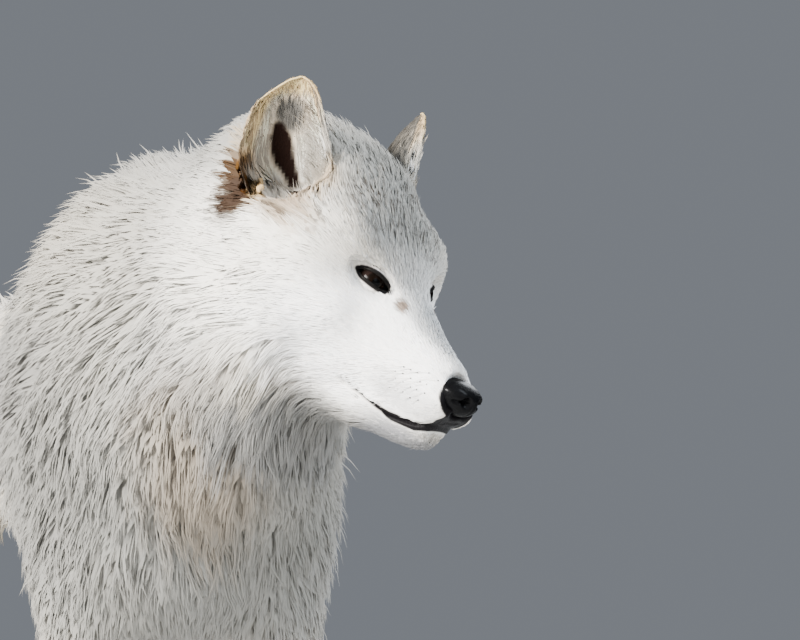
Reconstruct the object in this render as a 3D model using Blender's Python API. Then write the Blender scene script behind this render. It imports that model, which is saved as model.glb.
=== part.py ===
"""A life-size still model of a standing arctic wolf in winter coat, its head turned to its left and lowered.

The solids give the outline of the coat, out to the tips of the fur. The wolf faces -Y, its left side is +X,
and its four soles stand on the floor at z = 0. The body is modelled whole from lofted sections, melted into
one surface, and then parted with thin cuts where a person would name its parts.
"""

import math

import bmesh
import bpy
from mathutils import Matrix, Vector

# ---------------------------------------------------------------- driving dimensions, in metres and degrees

WITHERS_HEIGHT = 0.785      # top of the coat over the shoulders
CHEST_FLOOR = 0.425         # underside of the coat between the elbows
CHEST_FRONT = -0.440        # foremost point of the chest
RUMP_BACK = 0.458           # rearmost point of the rump
NOSE_TIP = Vector((0.189, -0.605, 0.643))
HEAD_TURN = 38.0            # the head looks to the wolf's left
HEAD_NOD = 26.0             # the muzzle points down
HEAD_TILT = 9.6             # the left ear is the lower one
EYE_RADIUS = 0.0118
EAR_LENGTH = 0.1115
EAR_LEAN = 0.30             # sideways lean of an ear, as a share of its height
EAR_SLANT = 0.26            # backward lean of an ear, as a share of its height
EAR_SHAPE = (
    # share of the ear's height, half its width there, and how far its middle is moved forwards
    (-0.20, 0.0426, 0.0),
    (0.200, 0.0415, 0.0),
    (0.406, 0.0390, -0.0009),
    (0.520, 0.0365, -0.0012),
    (0.634, 0.0328, -0.0009),
    (0.749, 0.0290, -0.0012),
    (0.806, 0.0266, -0.0006),
    (0.863, 0.0220, 0.0018),
    (0.920, 0.0163, 0.0042),
    (0.978, 0.0088, 0.0064),
    (1.000, 0.0022, 0.0078),
)
FORE_STANCE = 0.072         # from the midline to the middle of a foreleg
HIND_STANCE = 0.078
BEND_START = -0.200            # the back bends from here, behind the shoulders, and over this length
BEND_LENGTH = 0.340
BEND_TURN = 16.0               # by then the hindquarters are swung so far to the wolf's right
GAP = 0.0004                # clearance between neighbouring solids
BODY_VOXEL = 0.0065
CENTRE_SHIFT = Vector((0.0225, -0.0002, 0.0))   # puts the box's middle over the origin

SIDES = (("right", -1), ("left", 1))
COAT_WHITE = (0.82, 0.80, 0.74, 1.0)
EAR_TAN = (0.72, 0.60, 0.42, 1.0)
NOSE_BLACK = (0.02, 0.02, 0.022, 1.0)
EYE_BROWN = (0.10, 0.05, 0.02, 1.0)


# ---------------------------------------------------------------- helpers

def clear_scene():
    for obj in list(bpy.data.objects):
        bpy.data.objects.remove(obj)


def material(name, colour, roughness, metallic=0.0):
    made = bpy.data.materials.new(name)
    made.use_nodes = True
    shader = made.node_tree.nodes["Principled BSDF"]
    shader.inputs["Base Color"].default_value = colour
    shader.inputs["Roughness"].default_value = roughness
    shader.inputs["Metallic"].default_value = metallic
    return made


def object_from(name, bm, finish=None):
    bm.normal_update()
    mesh = bpy.data.meshes.new(name)
    bm.to_mesh(mesh)
    bm.free()
    obj = bpy.data.objects.new(name, mesh)
    bpy.context.scene.collection.objects.link(obj)
    if finish:
        mesh.materials.append(finish)
    return obj


def between(a, b, share):
    return a + (b - a) * share


def eased(values, share):
    """The value at a share from 0 to 1 along evenly read stations, on a smooth curve through all of them."""
    place = share * (len(values) - 1)
    i = min(int(place), len(values) - 2)
    t = place - i
    before, start = values[max(i - 1, 0)], values[i]
    end, after = values[i + 1], values[min(i + 2, len(values) - 1)]
    return (
        start
        + (end - before) * (0.5 * t)
        + (before * 2 - start * 5 + end * 4 - after) * (0.5 * t * t)
        + (start * 3 - before - end * 3 + after) * (0.5 * t * t * t)
    )


class Section:
    """One cross-section of a loft: its middle, its half width, and how far it reaches above and below."""

    def __init__(self, middle, half_width, above, below, power=2.0, across=Vector((1, 0, 0))):
        self.middle = Vector(middle)
        self.half_width, self.above, self.below = half_width, above, below
        self.power = power
        self.across = Vector(across)


def lofted(name, sections, sides=24, rings_between=5, place=Matrix.Identity(4)):
    """A closed tube through the sections, each standing square to the line through their middles."""
    bm = bmesh.new()
    steps = (len(sections) - 1) * rings_between
    loops = []
    for step in range(steps + 1):
        share = step / steps
        middle = eased([s.middle for s in sections], share)
        ahead = eased([s.middle for s in sections], min(share + 0.01, 1.0))
        behind = eased([s.middle for s in sections], max(share - 0.01, 0.0))
        along = (ahead - behind).normalized()
        across = eased([s.across for s in sections], share)
        across = (across - along * across.dot(along)).normalized()
        up = across.cross(along)
        width = eased([s.half_width for s in sections], share)
        above = eased([s.above for s in sections], share)
        below = eased([s.below for s in sections], share)
        power = 2.0 / eased([s.power for s in sections], share)
        loop = []
        for k in range(sides):
            turn = 2 * math.pi * k / sides
            c, s = math.cos(turn), math.sin(turn)
            out = math.copysign(abs(c) ** power, c) * width
            rise = math.copysign(abs(s) ** power, s) * (above if s > 0 else below)
            loop.append(bm.verts.new(place @ (middle + across * out + up * rise)))
        edges = [bm.edges.new((loop[k], loop[(k + 1) % sides])) for k in range(sides)]
        loops.append(edges)
    for first, second in zip(loops, loops[1:]):
        bmesh.ops.bridge_loops(bm, edges=first + second)
    for end in (loops[0], loops[-1]):
        bmesh.ops.edgeloop_fill(bm, edges=end)
    bmesh.ops.recalc_face_normals(bm, faces=bm.faces)
    return object_from(name, bm)


def egg(name, middle, radii, place=Matrix.Identity(4), turn=Matrix.Identity(4), finish=None, steps=(24, 16)):
    """An ellipsoid."""
    bm = bmesh.new()
    bmesh.ops.create_uvsphere(bm, u_segments=steps[0], v_segments=steps[1], radius=1.0)
    scale = Matrix.Diagonal((*radii, 1.0))
    bm.transform(place @ Matrix.Translation(middle) @ turn @ scale)
    bmesh.ops.recalc_face_normals(bm, faces=bm.faces)
    return object_from(name, bm, finish)


def applied(obj):
    """Makes the object's modifiers part of its mesh."""
    graph = bpy.context.evaluated_depsgraph_get()
    made = bpy.data.meshes.new_from_object(obj.evaluated_get(graph))
    obj.modifiers.clear()
    obj.data = made
    return obj


def melted(name, pieces, voxel):
    """One surface round all the pieces, which it uses up."""
    bm = bmesh.new()
    for piece in pieces:
        bm.from_mesh(piece.data)
        bpy.data.objects.remove(piece)
    obj = object_from(name, bm)
    remesh = obj.modifiers.new("melt", "REMESH")
    remesh.mode = "VOXEL"
    remesh.voxel_size = voxel
    return applied(obj)


def relaxed(obj, rounds, where=None):
    """Evens the surface out, at the vertices that where() picks."""
    bm = bmesh.new()
    bm.from_mesh(obj.data)
    chosen = [v for v in bm.verts if where is None or where(v.co)]
    for _ in range(rounds):
        bmesh.ops.smooth_vert(bm, verts=chosen, factor=0.5, use_axis_x=True, use_axis_y=True, use_axis_z=True)
    bm.to_mesh(obj.data)
    bm.free()
    return obj


def copied(obj, name):
    made = obj.copy()
    made.data = obj.data.copy()
    made.name = name
    bpy.context.scene.collection.objects.link(made)
    return made


def sliced(obj, point, outwards):
    """Cuts away what lies beyond the plane, on its outwards side, and closes the cut."""
    bm = bmesh.new()
    bm.from_mesh(obj.data)
    geometry = bm.verts[:] + bm.edges[:] + bm.faces[:]
    cut = bmesh.ops.bisect_plane(
        bm, geom=geometry, dist=1e-7, plane_co=point, plane_no=outwards, clear_outer=True
    )
    edges = [e for e in cut["geom_cut"] if isinstance(e, bmesh.types.BMEdge) and e.is_boundary]
    bmesh.ops.edgeloop_fill(bm, edges=edges)
    bm.to_mesh(obj.data)
    bm.free()
    return obj


def largest_piece(obj):
    """Drops all but the biggest connected body of the mesh."""
    bm = bmesh.new()
    bm.from_mesh(obj.data)
    left = set(bm.verts)
    best = set()
    while left:
        start = left.pop()
        found, edge_of = {start}, [start]
        while edge_of:
            for e in edge_of.pop().link_edges:
                for v in e.verts:
                    if v not in found:
                        found.add(v)
                        edge_of.append(v)
        left -= found
        if len(found) > len(best):
            best = found
    bmesh.ops.delete(bm, geom=[v for v in bm.verts if v not in best], context="VERTS")
    bm.to_mesh(obj.data)
    bm.free()
    return obj


def thinned(obj, triangles):
    """The same shape in about that many triangles."""
    bm = bmesh.new()
    bm.from_mesh(obj.data)
    bmesh.ops.triangulate(bm, faces=bm.faces)
    bm.to_mesh(obj.data)
    bm.free()
    thin = obj.modifiers.new("thin", "DECIMATE")
    thin.ratio = min(1.0, triangles / len(obj.data.polygons))
    return applied(obj)


def swollen(obj, by, name="cutter"):
    """A copy with every vertex moved outwards."""
    made = copied(obj, name)
    bm = bmesh.new()
    bm.from_mesh(made.data)
    bm.normal_update()
    moves = [(v, v.normal * by) for v in bm.verts]
    for v, move in moves:
        v.co += move
    bm.to_mesh(made.data)
    bm.free()
    return made


def combined(obj, other, operation):
    """A Boolean of the two, which uses the other one up."""
    cut = obj.modifiers.new("cut", "BOOLEAN")
    cut.operation = operation
    cut.solver = "EXACT"
    cut.object = other
    applied(obj)
    bpy.data.objects.remove(other)
    return obj


def box_cell(corners, name="cell"):
    """The convex block through the given corners."""
    bm = bmesh.new()
    for corner in corners:
        bm.verts.new(corner)
    bmesh.ops.convex_hull(bm, input=bm.verts)
    bmesh.ops.recalc_face_normals(bm, faces=bm.faces)
    return object_from(name, bm)


def head_place():
    """From the head's own frame to the wolf's: nose tip at the origin, muzzle along -Y, up along +Z."""
    return (
        Matrix.Translation(NOSE_TIP)
        @ Matrix.Rotation(math.radians(HEAD_TURN), 4, "Z")
        @ Matrix.Rotation(math.radians(HEAD_NOD), 4, "X")
        @ Matrix.Rotation(math.radians(HEAD_TILT), 4, "Y")
    )


def bent(place):
    """Where a place of the straight wolf lies once its back is bent."""
    turn = math.radians(BEND_TURN)
    radius = BEND_LENGTH / turn
    part = max(0.0, min(turn, (place[1] - BEND_START) / radius))
    arm = Vector((place[0] + radius, place[1] - BEND_START - radius * part, place[2]))
    return Vector((-radius, BEND_START, 0.0)) + Matrix.Rotation(part, 3, "Z") @ arm


# ---------------------------------------------------------------- the body, as lofts

def trunk_lofts():
    """The barrel of the body with its coat, from the chest back to the rump."""
    depth = WITHERS_HEIGHT - CHEST_FLOOR
    sections = [
        # how far back, half width, top and bottom as shares of the chest's depth above its floor
        (CHEST_FRONT, 0.050, 0.66, 0.26),
        (-0.405, 0.096, 0.80, 0.14),
        (-0.330, 0.128, 0.95, 0.02),
        (-0.215, 0.150, 1.00, 0.03),
        (-0.080, 0.156, 0.94, 0.14),
        (0.060, 0.148, 0.89, 0.215),
        (0.190, 0.136, 0.86, 0.25),
        (0.310, 0.130, 0.85, 0.26),
        (0.410, 0.112, 0.81, 0.26),
        (RUMP_BACK, 0.055, 0.74, 0.34),
    ]
    made = []
    for y, width, top, bottom in sections:
        high, low = CHEST_FLOOR + top * depth, CHEST_FLOOR + bottom * depth
        middle = between(low, high, 0.52)
        made.append(Section((0, y, middle), width, high - middle, middle - low, 2.15))
    return [lofted("trunk_loft", made)]


def neck_lofts(head):
    """The neck under its mane, bending to the left from the shoulders to the back of the head."""
    skull_back = head @ Vector((0, 0.200, 0.002))
    sections = [
        Section((0.000, -0.120, 0.600), 0.135, 0.160, 0.120, 2.1),
        Section((-0.008, -0.230, 0.628), 0.147, 0.162, 0.165, 2.1),
        Section((-0.008, -0.310, 0.662), 0.147, 0.176, 0.180, 1.95),
        Section((0.006, -0.372, 0.694), 0.139, 0.182, 0.172, 1.85, (1, 0.25, 0)),
        Section((0.030, -0.418, 0.716), 0.122, 0.176, 0.138, 1.85, (1, 0.50, 0)),
        Section(skull_back, 0.098, 0.112, 0.100, 1.9, (1, 0.70, -0.15)),
    ]
    return [lofted("neck_loft", sections, rings_between=6)]


def foreleg_lofts(side, forward):
    """One foreleg from the shoulder to the pastern."""
    x = side * FORE_STANCE
    sections = [
        Section((x * 1.18, -0.262, 0.640), 0.050, 0.085, 0.075),
        Section((x * 1.20, -0.275, 0.550), 0.052, 0.080, 0.078),
        Section((x * 1.08, -0.262, 0.455), 0.046, 0.060, 0.066),
        Section((x * 1.00, -0.266, 0.360), 0.037, 0.043, 0.047),
        Section((x * 0.97, -0.276 + forward * 0.4, 0.265), 0.031, 0.034, 0.036),
        Section((x * 0.96, -0.284 + forward * 0.7, 0.180), 0.030, 0.032, 0.033),
        Section((x * 0.97, -0.294 + forward * 0.9, 0.105), 0.028, 0.029, 0.030),
        Section((x * 0.98, -0.306 + forward, 0.050), 0.034, 0.038, 0.034),
    ]
    return [lofted("foreleg_loft", sections, sides=16)]


def hindleg_lofts(side, forward):
    """One hind leg from the thigh over the stifle and hock to the pastern."""
    x = side * HIND_STANCE
    sections = [
        Section((x * 0.80, 0.330, 0.625), 0.058, 0.090, 0.095),
        Section((x * 1.06, 0.292, 0.550), 0.062, 0.106, 0.100),
        Section((x * 1.12, 0.248 + forward * 0.4, 0.460), 0.054, 0.082, 0.078),
        Section((x * 1.06, 0.285 + forward * 0.6, 0.365), 0.040, 0.056, 0.054),
        Section((x * 0.98, 0.352 + forward * 0.8, 0.285), 0.031, 0.040, 0.040),
        Section((x * 0.94, 0.398 + forward, 0.215), 0.028, 0.035, 0.038),
        Section((x * 0.94, 0.395 + forward, 0.135), 0.027, 0.030, 0.031),
        Section((x * 0.96, 0.378 + forward, 0.050), 0.032, 0.038, 0.034),
    ]
    return [lofted("hindleg_loft", sections, sides=16)]


def paw_pieces(x, y, length, width):
    """A paw's instep, pads and four toes, with its sole just under the floor line."""
    pieces = [egg("paw_instep", (x, y + length * 0.10, 0.028), (width * 0.46, length * 0.42, 0.034))]
    spread = (-0.37, -0.13, 0.13, 0.37)
    reach = (0.29, 0.43, 0.43, 0.29)
    for across, ahead in zip(spread, reach):
        turn = Matrix.Rotation(-across * 0.5, 4, "Z")
        middle = (x + across * width, y - ahead * length + 0.018, 0.019)
        pieces.append(egg("toe", middle, (width * 0.155, length * 0.24, 0.021), turn=turn))
        claw = Vector((x + across * width * 1.10, y - ahead * length - length * 0.16 + 0.009, 0.012))
        pieces.append(egg("claw", claw, (0.0046, 0.011, 0.0050), turn=turn))
    return pieces


def tail_lofts():
    """The brush, hanging from the rump."""
    sections = [
        Section((0.000, 0.400, 0.665), 0.050, 0.050, 0.050),
        Section((0.000, 0.478, 0.648), 0.052, 0.048, 0.050),
        Section((-0.003, 0.541, 0.598), 0.058, 0.056, 0.052),
        Section((-0.008, 0.567, 0.508), 0.064, 0.062, 0.056),
        Section((-0.013, 0.575, 0.415), 0.063, 0.060, 0.056),
        Section((-0.018, 0.572, 0.330), 0.046, 0.044, 0.042),
        Section((-0.021, 0.563, 0.262), 0.011, 0.011, 0.011),
    ]
    return [lofted("tail_loft", sections, sides=20)]


def head_lofts(head):
    """Skull, muzzle and cheeks above the mouth line, in the head's own frame."""
    sections = [
        # how far behind the nose tip, half width, top, bottom, squareness
        (0.012, 0.0130, 0.002, -0.033, 2.2),
        (0.019, 0.0190, 0.010, -0.037, 2.3),
        (0.032, 0.0238, 0.0155, -0.039, 2.25),
        (0.052, 0.0275, 0.0220, -0.042, 2.2),
        (0.076, 0.0320, 0.0315, -0.045, 2.2),
        (0.096, 0.0395, 0.0425, -0.050, 2.25),
        (0.114, 0.0475, 0.0550, -0.060, 2.3),
        (0.132, 0.0590, 0.0660, -0.070, 2.2),
        (0.152, 0.0720, 0.080, -0.078, 2.05),
        (0.176, 0.0840, 0.101, -0.085, 1.95),
        (0.204, 0.0940, 0.121, -0.090, 1.85),
        (0.236, 0.0980, 0.132, -0.094, 1.80),
        (0.268, 0.0930, 0.130, -0.094, 1.85),
        (0.300, 0.0800, 0.105, -0.085, 2.0),
    ]
    made = []
    for back, width, top, bottom, power in sections:
        middle = between(bottom, top, 0.44)
        made.append(Section((0, back, middle), width, top - middle, middle - bottom, power))
    pieces = [lofted("skull_loft", made, rings_between=4, place=head)]
    for _, side in SIDES:
        turn = Matrix.Rotation(side * math.radians(35), 4, "Z")
        pieces.append(egg("brow", (side * 0.034, 0.124, 0.052), (0.020, 0.014, 0.010), place=head, turn=turn))
        pieces.append(egg("cheekbone", (side * 0.050, 0.150, 0.008), (0.028, 0.040, 0.030), place=head))
        pieces.append(egg("temple", (side * 0.058, 0.178, 0.040), (0.040, 0.046, 0.040), place=head))
        pieces.append(egg("brow_fur", (side * 0.045, 0.160, 0.057), (0.033, 0.036, 0.033), place=head))
        pieces.append(egg("crown_fur", (side * 0.036, 0.226, 0.093), (0.030, 0.056, 0.035), place=head))
        pieces.append(egg("ear_fur", (side * 0.062, 0.264, 0.084), (0.032, 0.038, 0.036), place=head))
        pieces.append(egg("cheek", (side * 0.064, 0.196, -0.022), (0.040, 0.056, 0.062), place=head))
        pieces.append(egg("whisker_bed", (side * 0.015, 0.038, -0.018), (0.0170, 0.030, 0.021), place=head))
    pieces.append(egg("forehead", (0, 0.160, 0.050), (0.048, 0.046, 0.034), place=head))
    return pieces


# ---------------------------------------------------------------- parts that keep their own form

def ear_root(side):
    return Vector((side * 0.051, 0.214, 0.048))


def ear_shape(share):
    """Half the ear's width at a share of its height, and how far its middle is moved forwards."""
    for low, high in zip(EAR_SHAPE, EAR_SHAPE[1:]):
        if share <= high[0]:
            run = (share - low[0]) / (high[0] - low[0])
            return between(low[1], high[1], run), between(low[2], high[2], run)
    return EAR_SHAPE[-1][1:]


def ear(name, side, head, finish):
    """A rounded, cupped ear: crescent sections from the root to the tip, opening forwards and outwards."""
    axis = Vector((side * EAR_LEAN, EAR_SLANT, 1.0)).normalized()
    facing = Vector((side * 0.80, -0.72, 0.0))
    facing = (facing - axis * facing.dot(axis)).normalized()
    across = axis.cross(facing)
    to_front = across if across.y < 0 else -across
    root = ear_root(side)
    bm = bmesh.new()
    steps, arc = 9, 8
    loops = []
    for step in range(steps + 1):
        share = math.sin(math.pi / 2 * step / steps)
        height = (-0.20 + 1.20 * share) * EAR_LENGTH
        grown = max(0.0, min(1.0, height / EAR_LENGTH))
        half, shift = ear_shape(height / EAR_LENGTH)
        cup = half * (1.12 - 0.62 * grown)
        thick = between(0.0075, 0.0036, grown)
        middle = root + axis * height + to_front * shift
        loop = []
        for shell in (1, -1):
            depth, reach = (cup, half) if shell > 0 else (cup - thick, half - thick * 0.45)
            depth, reach = max(depth, 0.0006), max(reach, 0.0006)
            for k in range(arc):
                turn = shell * math.pi * (k / (arc - 1) - 0.5)
                out, back = reach * math.sin(turn), depth * math.cos(turn)
                loop.append(bm.verts.new(head @ (middle + across * out - facing * (back - cup * 0.45))))
        count = len(loop)
        loops.append([bm.edges.new((loop[k], loop[(k + 1) % count])) for k in range(count)])
    for first, second in zip(loops, loops[1:]):
        bmesh.ops.bridge_loops(bm, edges=first + second)
    for end in (loops[0], loops[-1]):
        bmesh.ops.edgeloop_fill(bm, edges=end)
    bmesh.ops.remove_doubles(bm, verts=bm.verts, dist=1e-5)
    bmesh.ops.recalc_face_normals(bm, faces=bm.faces)
    return object_from(name, bm, finish)


def nose(head):
    """The bare nose pad, with its two nostrils and the groove between them."""
    pad = egg("nose_pad", (0, 0.0175, -0.0025), (0.0164, 0.0150, 0.0155), place=head)
    bridge = egg("nose_bridge", (0, 0.0205, 0.0045), (0.0145, 0.0155, 0.0080), place=head)
    lip = egg("nose_lip", (0, 0.0145, -0.0190), (0.0060, 0.0085, 0.0120), place=head)
    made = melted("nose", [pad, bridge, lip], 0.0012)
    relaxed(made, 6)
    for _, side in SIDES:
        turn = Matrix.Rotation(side * 0.5, 4, "Z") @ Matrix.Rotation(side * 0.5, 4, "Y")
        middle = (side * 0.0082, 0.0040, -0.0015)
        hole = egg("nostril", middle, (0.0030, 0.0062, 0.0042), place=head, turn=turn, steps=(10, 6))
        combined(made, hole, "DIFFERENCE")
    return made


def jaw_loft(head):
    """The lower jaw, from the chin back under the cheeks."""
    sections = [
        # how far behind the nose tip, half width, top, bottom
        (0.024, 0.0080, -0.038, -0.0495),
        (0.029, 0.0135, -0.034, -0.0560),
        (0.040, 0.0180, -0.030, -0.0608),
        (0.062, 0.0215, -0.028, -0.0648),
        (0.086, 0.0265, -0.028, -0.0690),
        (0.108, 0.0330, -0.030, -0.0740),
        (0.128, 0.0380, -0.034, -0.0775),
    ]
    made = []
    for back, width, top, bottom in sections:
        middle = between(bottom, top, 0.5)
        made.append(Section((0, back, middle), width, top - middle, middle - bottom, 2.2))
    return lofted("lower_jaw", made, sides=12, rings_between=2, place=head)


# ---------------------------------------------------------------- making and parting the wolf

def whole_body(head):
    """Everything of flesh and fur but the ears and the lower jaw, as one surface."""
    pieces = trunk_lofts() + neck_lofts(head) + tail_lofts() + head_lofts(head)
    for _, side in SIDES:
        lead = 0.012 * side
        pieces += foreleg_lofts(side, lead)
        pieces += paw_pieces(side * FORE_STANCE, -0.332 + lead, 0.112, 0.094)
        step = -0.030 * side
        pieces += hindleg_lofts(side, step)
        pieces += paw_pieces(side * HIND_STANCE, 0.346 + step, 0.104, 0.088)
    body = melted("body", pieces, BODY_VOXEL)
    nose_frame = head.inverted()

    def on_trunk(co):
        local = nose_frame @ co
        return local.y > 0.20 and co.z > 0.30

    def on_skull(co):
        return (nose_frame @ co).y > 0.09 and co.z > 0.30

    def on_crown(co):
        return (nose_frame @ co).y > 0.145 and co.z > 0.30

    def off_the_feet(co):
        return co.z > 0.075

    relaxed(body, 2)
    relaxed(body, 4, off_the_feet)
    relaxed(body, 6, on_skull)
    relaxed(body, 8, on_crown)
    relaxed(body, 26, on_trunk)
    for v in body.data.vertices:
        v.co = bent(v.co)
    return body


def leg_cell(side, ends, armpit, shoulder, name, grow):
    """The block that holds one leg: its top slopes from armpit to shoulder, and from front to back."""
    inner = side * (0.008 - grow)
    outer = side * 0.30
    corners = []
    for y, pit, top in ((ends[0] - grow, armpit[0], shoulder[0]), (ends[1] + grow, armpit[1], shoulder[1])):
        corners += [(inner, y, pit + grow), (outer, y, top + grow), (inner, y, -0.05), (outer, y, -0.05)]
    return box_cell([bent(corner) for corner in corners], name)


def paw_corners(side, ends):
    """The corners of the block that holds one paw and the foot of its leg."""
    return [
        bent((side * x, y, z))
        for x in (0.005, 0.20)
        for y in ends
        for z in (-0.05, 0.11)
    ]


def make_wolf():
    clear_scene()
    coat = material("white_coat", COAT_WHITE, 0.85)
    tan = material("ear_coat", EAR_TAN, 0.85)
    black = material("nose_skin", NOSE_BLACK, 0.35)
    brown = material("eye", EYE_BROWN, 0.08)
    head_frame = head_place()
    forward = (head_frame.to_3x3() @ Vector((0, -1, 0))).normalized()
    upward = (head_frame.to_3x3() @ Vector((0, 0, 1))).normalized()

    body = whole_body(head_frame)
    coarse = thinned(copied(body, "coarse"), 2800)

    # Planes that part the head from the neck, the neck from the trunk, and the tail from the rump.
    head_cut = head_frame @ Vector((0, 0.212, 0))
    head_normal = (forward + upward * 0.75).normalized()
    neck_cut = Vector((0, -0.292, 0.62))
    neck_normal = Vector((0.10, -0.79, 0.60)).normalized()
    tail_cut = bent((0, 0.472, 0.66))
    tail_normal = (bent((0, 1.472, 0.76)) - tail_cut).normalized()

    made = []

    # The head keeps its finer shape, and the nose, eyes and ears are set into it.
    skull = copied(body, "head")
    sliced(skull, head_cut - head_normal * 0.02, -head_normal)
    largest_piece(skull)
    thinned(skull, 1700)
    sliced(skull, head_cut + head_normal * GAP / 2, -head_normal)
    pad = nose(head_frame)
    thinned(pad, 270)
    combined(skull, swollen(pad, GAP), "DIFFERENCE")
    for name, side in SIDES:
        well = ear_root(side) + Vector((side * 0.017, 0.002, 0.050))
        lean = Matrix.Rotation(side * math.radians(16), 4, "Y")
        hollow = egg("ear_well", well, (0.031, 0.027, 0.046), head_frame, lean, steps=(12, 8))
        combined(skull, hollow, "DIFFERENCE")
        middle = Vector((side * 0.0310, 0.1240, 0.0370))
        eye = egg(f"eye_{name}", middle, (EYE_RADIUS,) * 3, place=head_frame, finish=brown, steps=(12, 8))
        socket = egg("socket", middle, (EYE_RADIUS + GAP,) * 3, place=head_frame, steps=(12, 8))
        swing = Matrix.Rotation(side * math.radians(-50), 4, "Z")
        slant = swing @ Matrix.Rotation(side * math.radians(22), 4, "Y")
        opening = Vector((side * 0.0400, 0.1120, 0.0400))
        lids = egg("lids", opening, (0.0168, 0.0140, 0.0074), place=head_frame, turn=slant, steps=(12, 8))
        combined(skull, socket, "DIFFERENCE")
        combined(skull, lids, "DIFFERENCE")
        made.append(eye)
    largest_piece(skull)
    made.append(skull)
    pad.data.materials.clear()
    pad.data.materials.append(black)
    made.append(pad)

    jaw = jaw_loft(head_frame)
    combined(jaw, swollen(skull, GAP), "DIFFERENCE")
    combined(jaw, swollen(pad, GAP), "DIFFERENCE")
    largest_piece(jaw)
    made.append(jaw)

    neck = copied(coarse, "neck")
    sliced(neck, head_cut - head_normal * GAP / 2, head_normal)
    sliced(neck, neck_cut + neck_normal * GAP / 2, -neck_normal)
    largest_piece(neck)
    made.append(neck)

    for name, side in SIDES:
        shell = ear(f"ear_{name}", side, head_frame, tan)
        combined(shell, swollen(skull, GAP), "DIFFERENCE")
        combined(shell, swollen(neck, GAP), "DIFFERENCE")
        largest_piece(shell)
        made.append(shell)

    trunk = copied(coarse, "trunk")
    sliced(trunk, neck_cut - neck_normal * GAP / 2, neck_normal)
    sliced(trunk, tail_cut - tail_normal * GAP / 2, tail_normal)
    largest_piece(trunk)

    tail = copied(coarse, "tail")
    sliced(tail, tail_cut + tail_normal * GAP / 2, -tail_normal)
    largest_piece(tail)
    made.append(tail)

    legs = (
        ("foreleg", (-0.50, -0.165), (0.410, 0.410), (0.62, 0.54)),
        ("hindleg", (0.150, 0.50), (0.485, 0.540), (0.55, 0.80)),
    )
    for kind, ends, armpit, shoulder in legs:
        for name, side in SIDES:
            ankle = 0.085 if kind == "foreleg" else 0.075
            leg = copied(coarse, f"{kind}_{name}")
            combined(leg, leg_cell(side, ends, armpit, shoulder, "inside", 0.0), "INTERSECT")
            largest_piece(leg)
            sliced(leg, (0, 0, ankle + GAP / 2), (0, 0, -1))
            paw = copied(body, f"{kind[:4]}paw_{name}")
            combined(paw, box_cell(paw_corners(side, ends)), "INTERSECT")
            thinned(paw, 300)
            sliced(paw, (0, 0, ankle - GAP / 2), (0, 0, 1))
            sliced(paw, (0, 0, 0), (0, 0, -1))
            made += [leg, paw]
            combined(trunk, leg_cell(side, ends, armpit, shoulder, "outside", GAP), "DIFFERENCE")
    largest_piece(trunk)
    made.append(trunk)

    bpy.data.objects.remove(body)
    bpy.data.objects.remove(coarse)
    for obj in made:
        obj.data.transform(Matrix.Translation(CENTRE_SHIFT))
        if not obj.data.materials:
            obj.data.materials.append(coat)
        obj.data.shade_smooth()


make_wolf()
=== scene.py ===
import math

import bmesh
import bpy
import numpy as np
from mathutils import Matrix, Vector
from mathutils.bvhtree import BVHTree
from mathutils.kdtree import KDTree


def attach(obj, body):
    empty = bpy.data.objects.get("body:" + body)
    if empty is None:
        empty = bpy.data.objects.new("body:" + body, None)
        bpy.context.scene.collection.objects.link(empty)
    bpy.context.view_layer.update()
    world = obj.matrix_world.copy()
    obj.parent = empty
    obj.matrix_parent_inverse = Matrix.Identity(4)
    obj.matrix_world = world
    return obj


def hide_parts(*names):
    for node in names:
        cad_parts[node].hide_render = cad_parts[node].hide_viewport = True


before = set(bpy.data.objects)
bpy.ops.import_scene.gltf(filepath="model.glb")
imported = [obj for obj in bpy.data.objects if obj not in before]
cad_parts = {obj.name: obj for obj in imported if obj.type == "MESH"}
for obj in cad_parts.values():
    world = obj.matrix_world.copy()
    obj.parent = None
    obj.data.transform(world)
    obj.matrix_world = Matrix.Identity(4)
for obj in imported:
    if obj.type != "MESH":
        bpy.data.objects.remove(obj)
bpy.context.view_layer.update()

# ------------------------------------------------------------------ camera
# A long lens, level and at the height of the wolf's muzzle, that looks at it from a little to its right of
# straight ahead.


def stood(name, data):
    """A new object in the scene, at the origin."""
    made = bpy.data.objects.new(name, data)
    bpy.context.scene.collection.objects.link(made)
    return made


camera_data = bpy.data.cameras.new("camera")
camera_data.lens = 206
camera_data.sensor_width = 36
camera_data.clip_end = 60
camera = stood("camera", camera_data)
camera.location = (-0.4565, -4.0402, 0.706)
camera.rotation_euler = (math.radians(90), 0, math.radians(-10))
bpy.context.scene.camera = camera

# ------------------------------------------------------------------ coat surface
# The outline of the coat, tips and all: the flesh nodes melted into one surface, made finer on the head.
# The skin is drawn in from it by the coat's depth, and every tuft of hair reaches from the skin out to it.

NOSE_TIP = Vector((0.2115, -0.6052, 0.643))
head = (
    Matrix.Translation(NOSE_TIP)
    @ Matrix.Rotation(math.radians(38.0), 4, "Z")
    @ Matrix.Rotation(math.radians(26.0), 4, "X")
    @ Matrix.Rotation(math.radians(9.6), 4, "Y")
)
HEAD_TURN = np.array(head.to_3x3())
HEAD_PLACE = np.array(NOSE_TIP)
FLESH = (
    "head", "lower_jaw", "neck", "trunk", "tail",
    "foreleg_left", "foreleg_right", "hindleg_left", "hindleg_right",
    "forepaw_left", "forepaw_right", "hindpaw_left", "hindpaw_right",
)
SIDES = (("right", -1), ("left", 1))
rng = np.random.default_rng(20)


def to_head(points):
    """World places in the head's frame: x to its left, y back from the nose tip, z up."""
    return (points - HEAD_PLACE) @ HEAD_TURN


def from_head(points):
    """The other way round: places in the head's frame, in the world."""
    return np.asarray(points) @ HEAD_TURN.T + HEAD_PLACE


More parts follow.
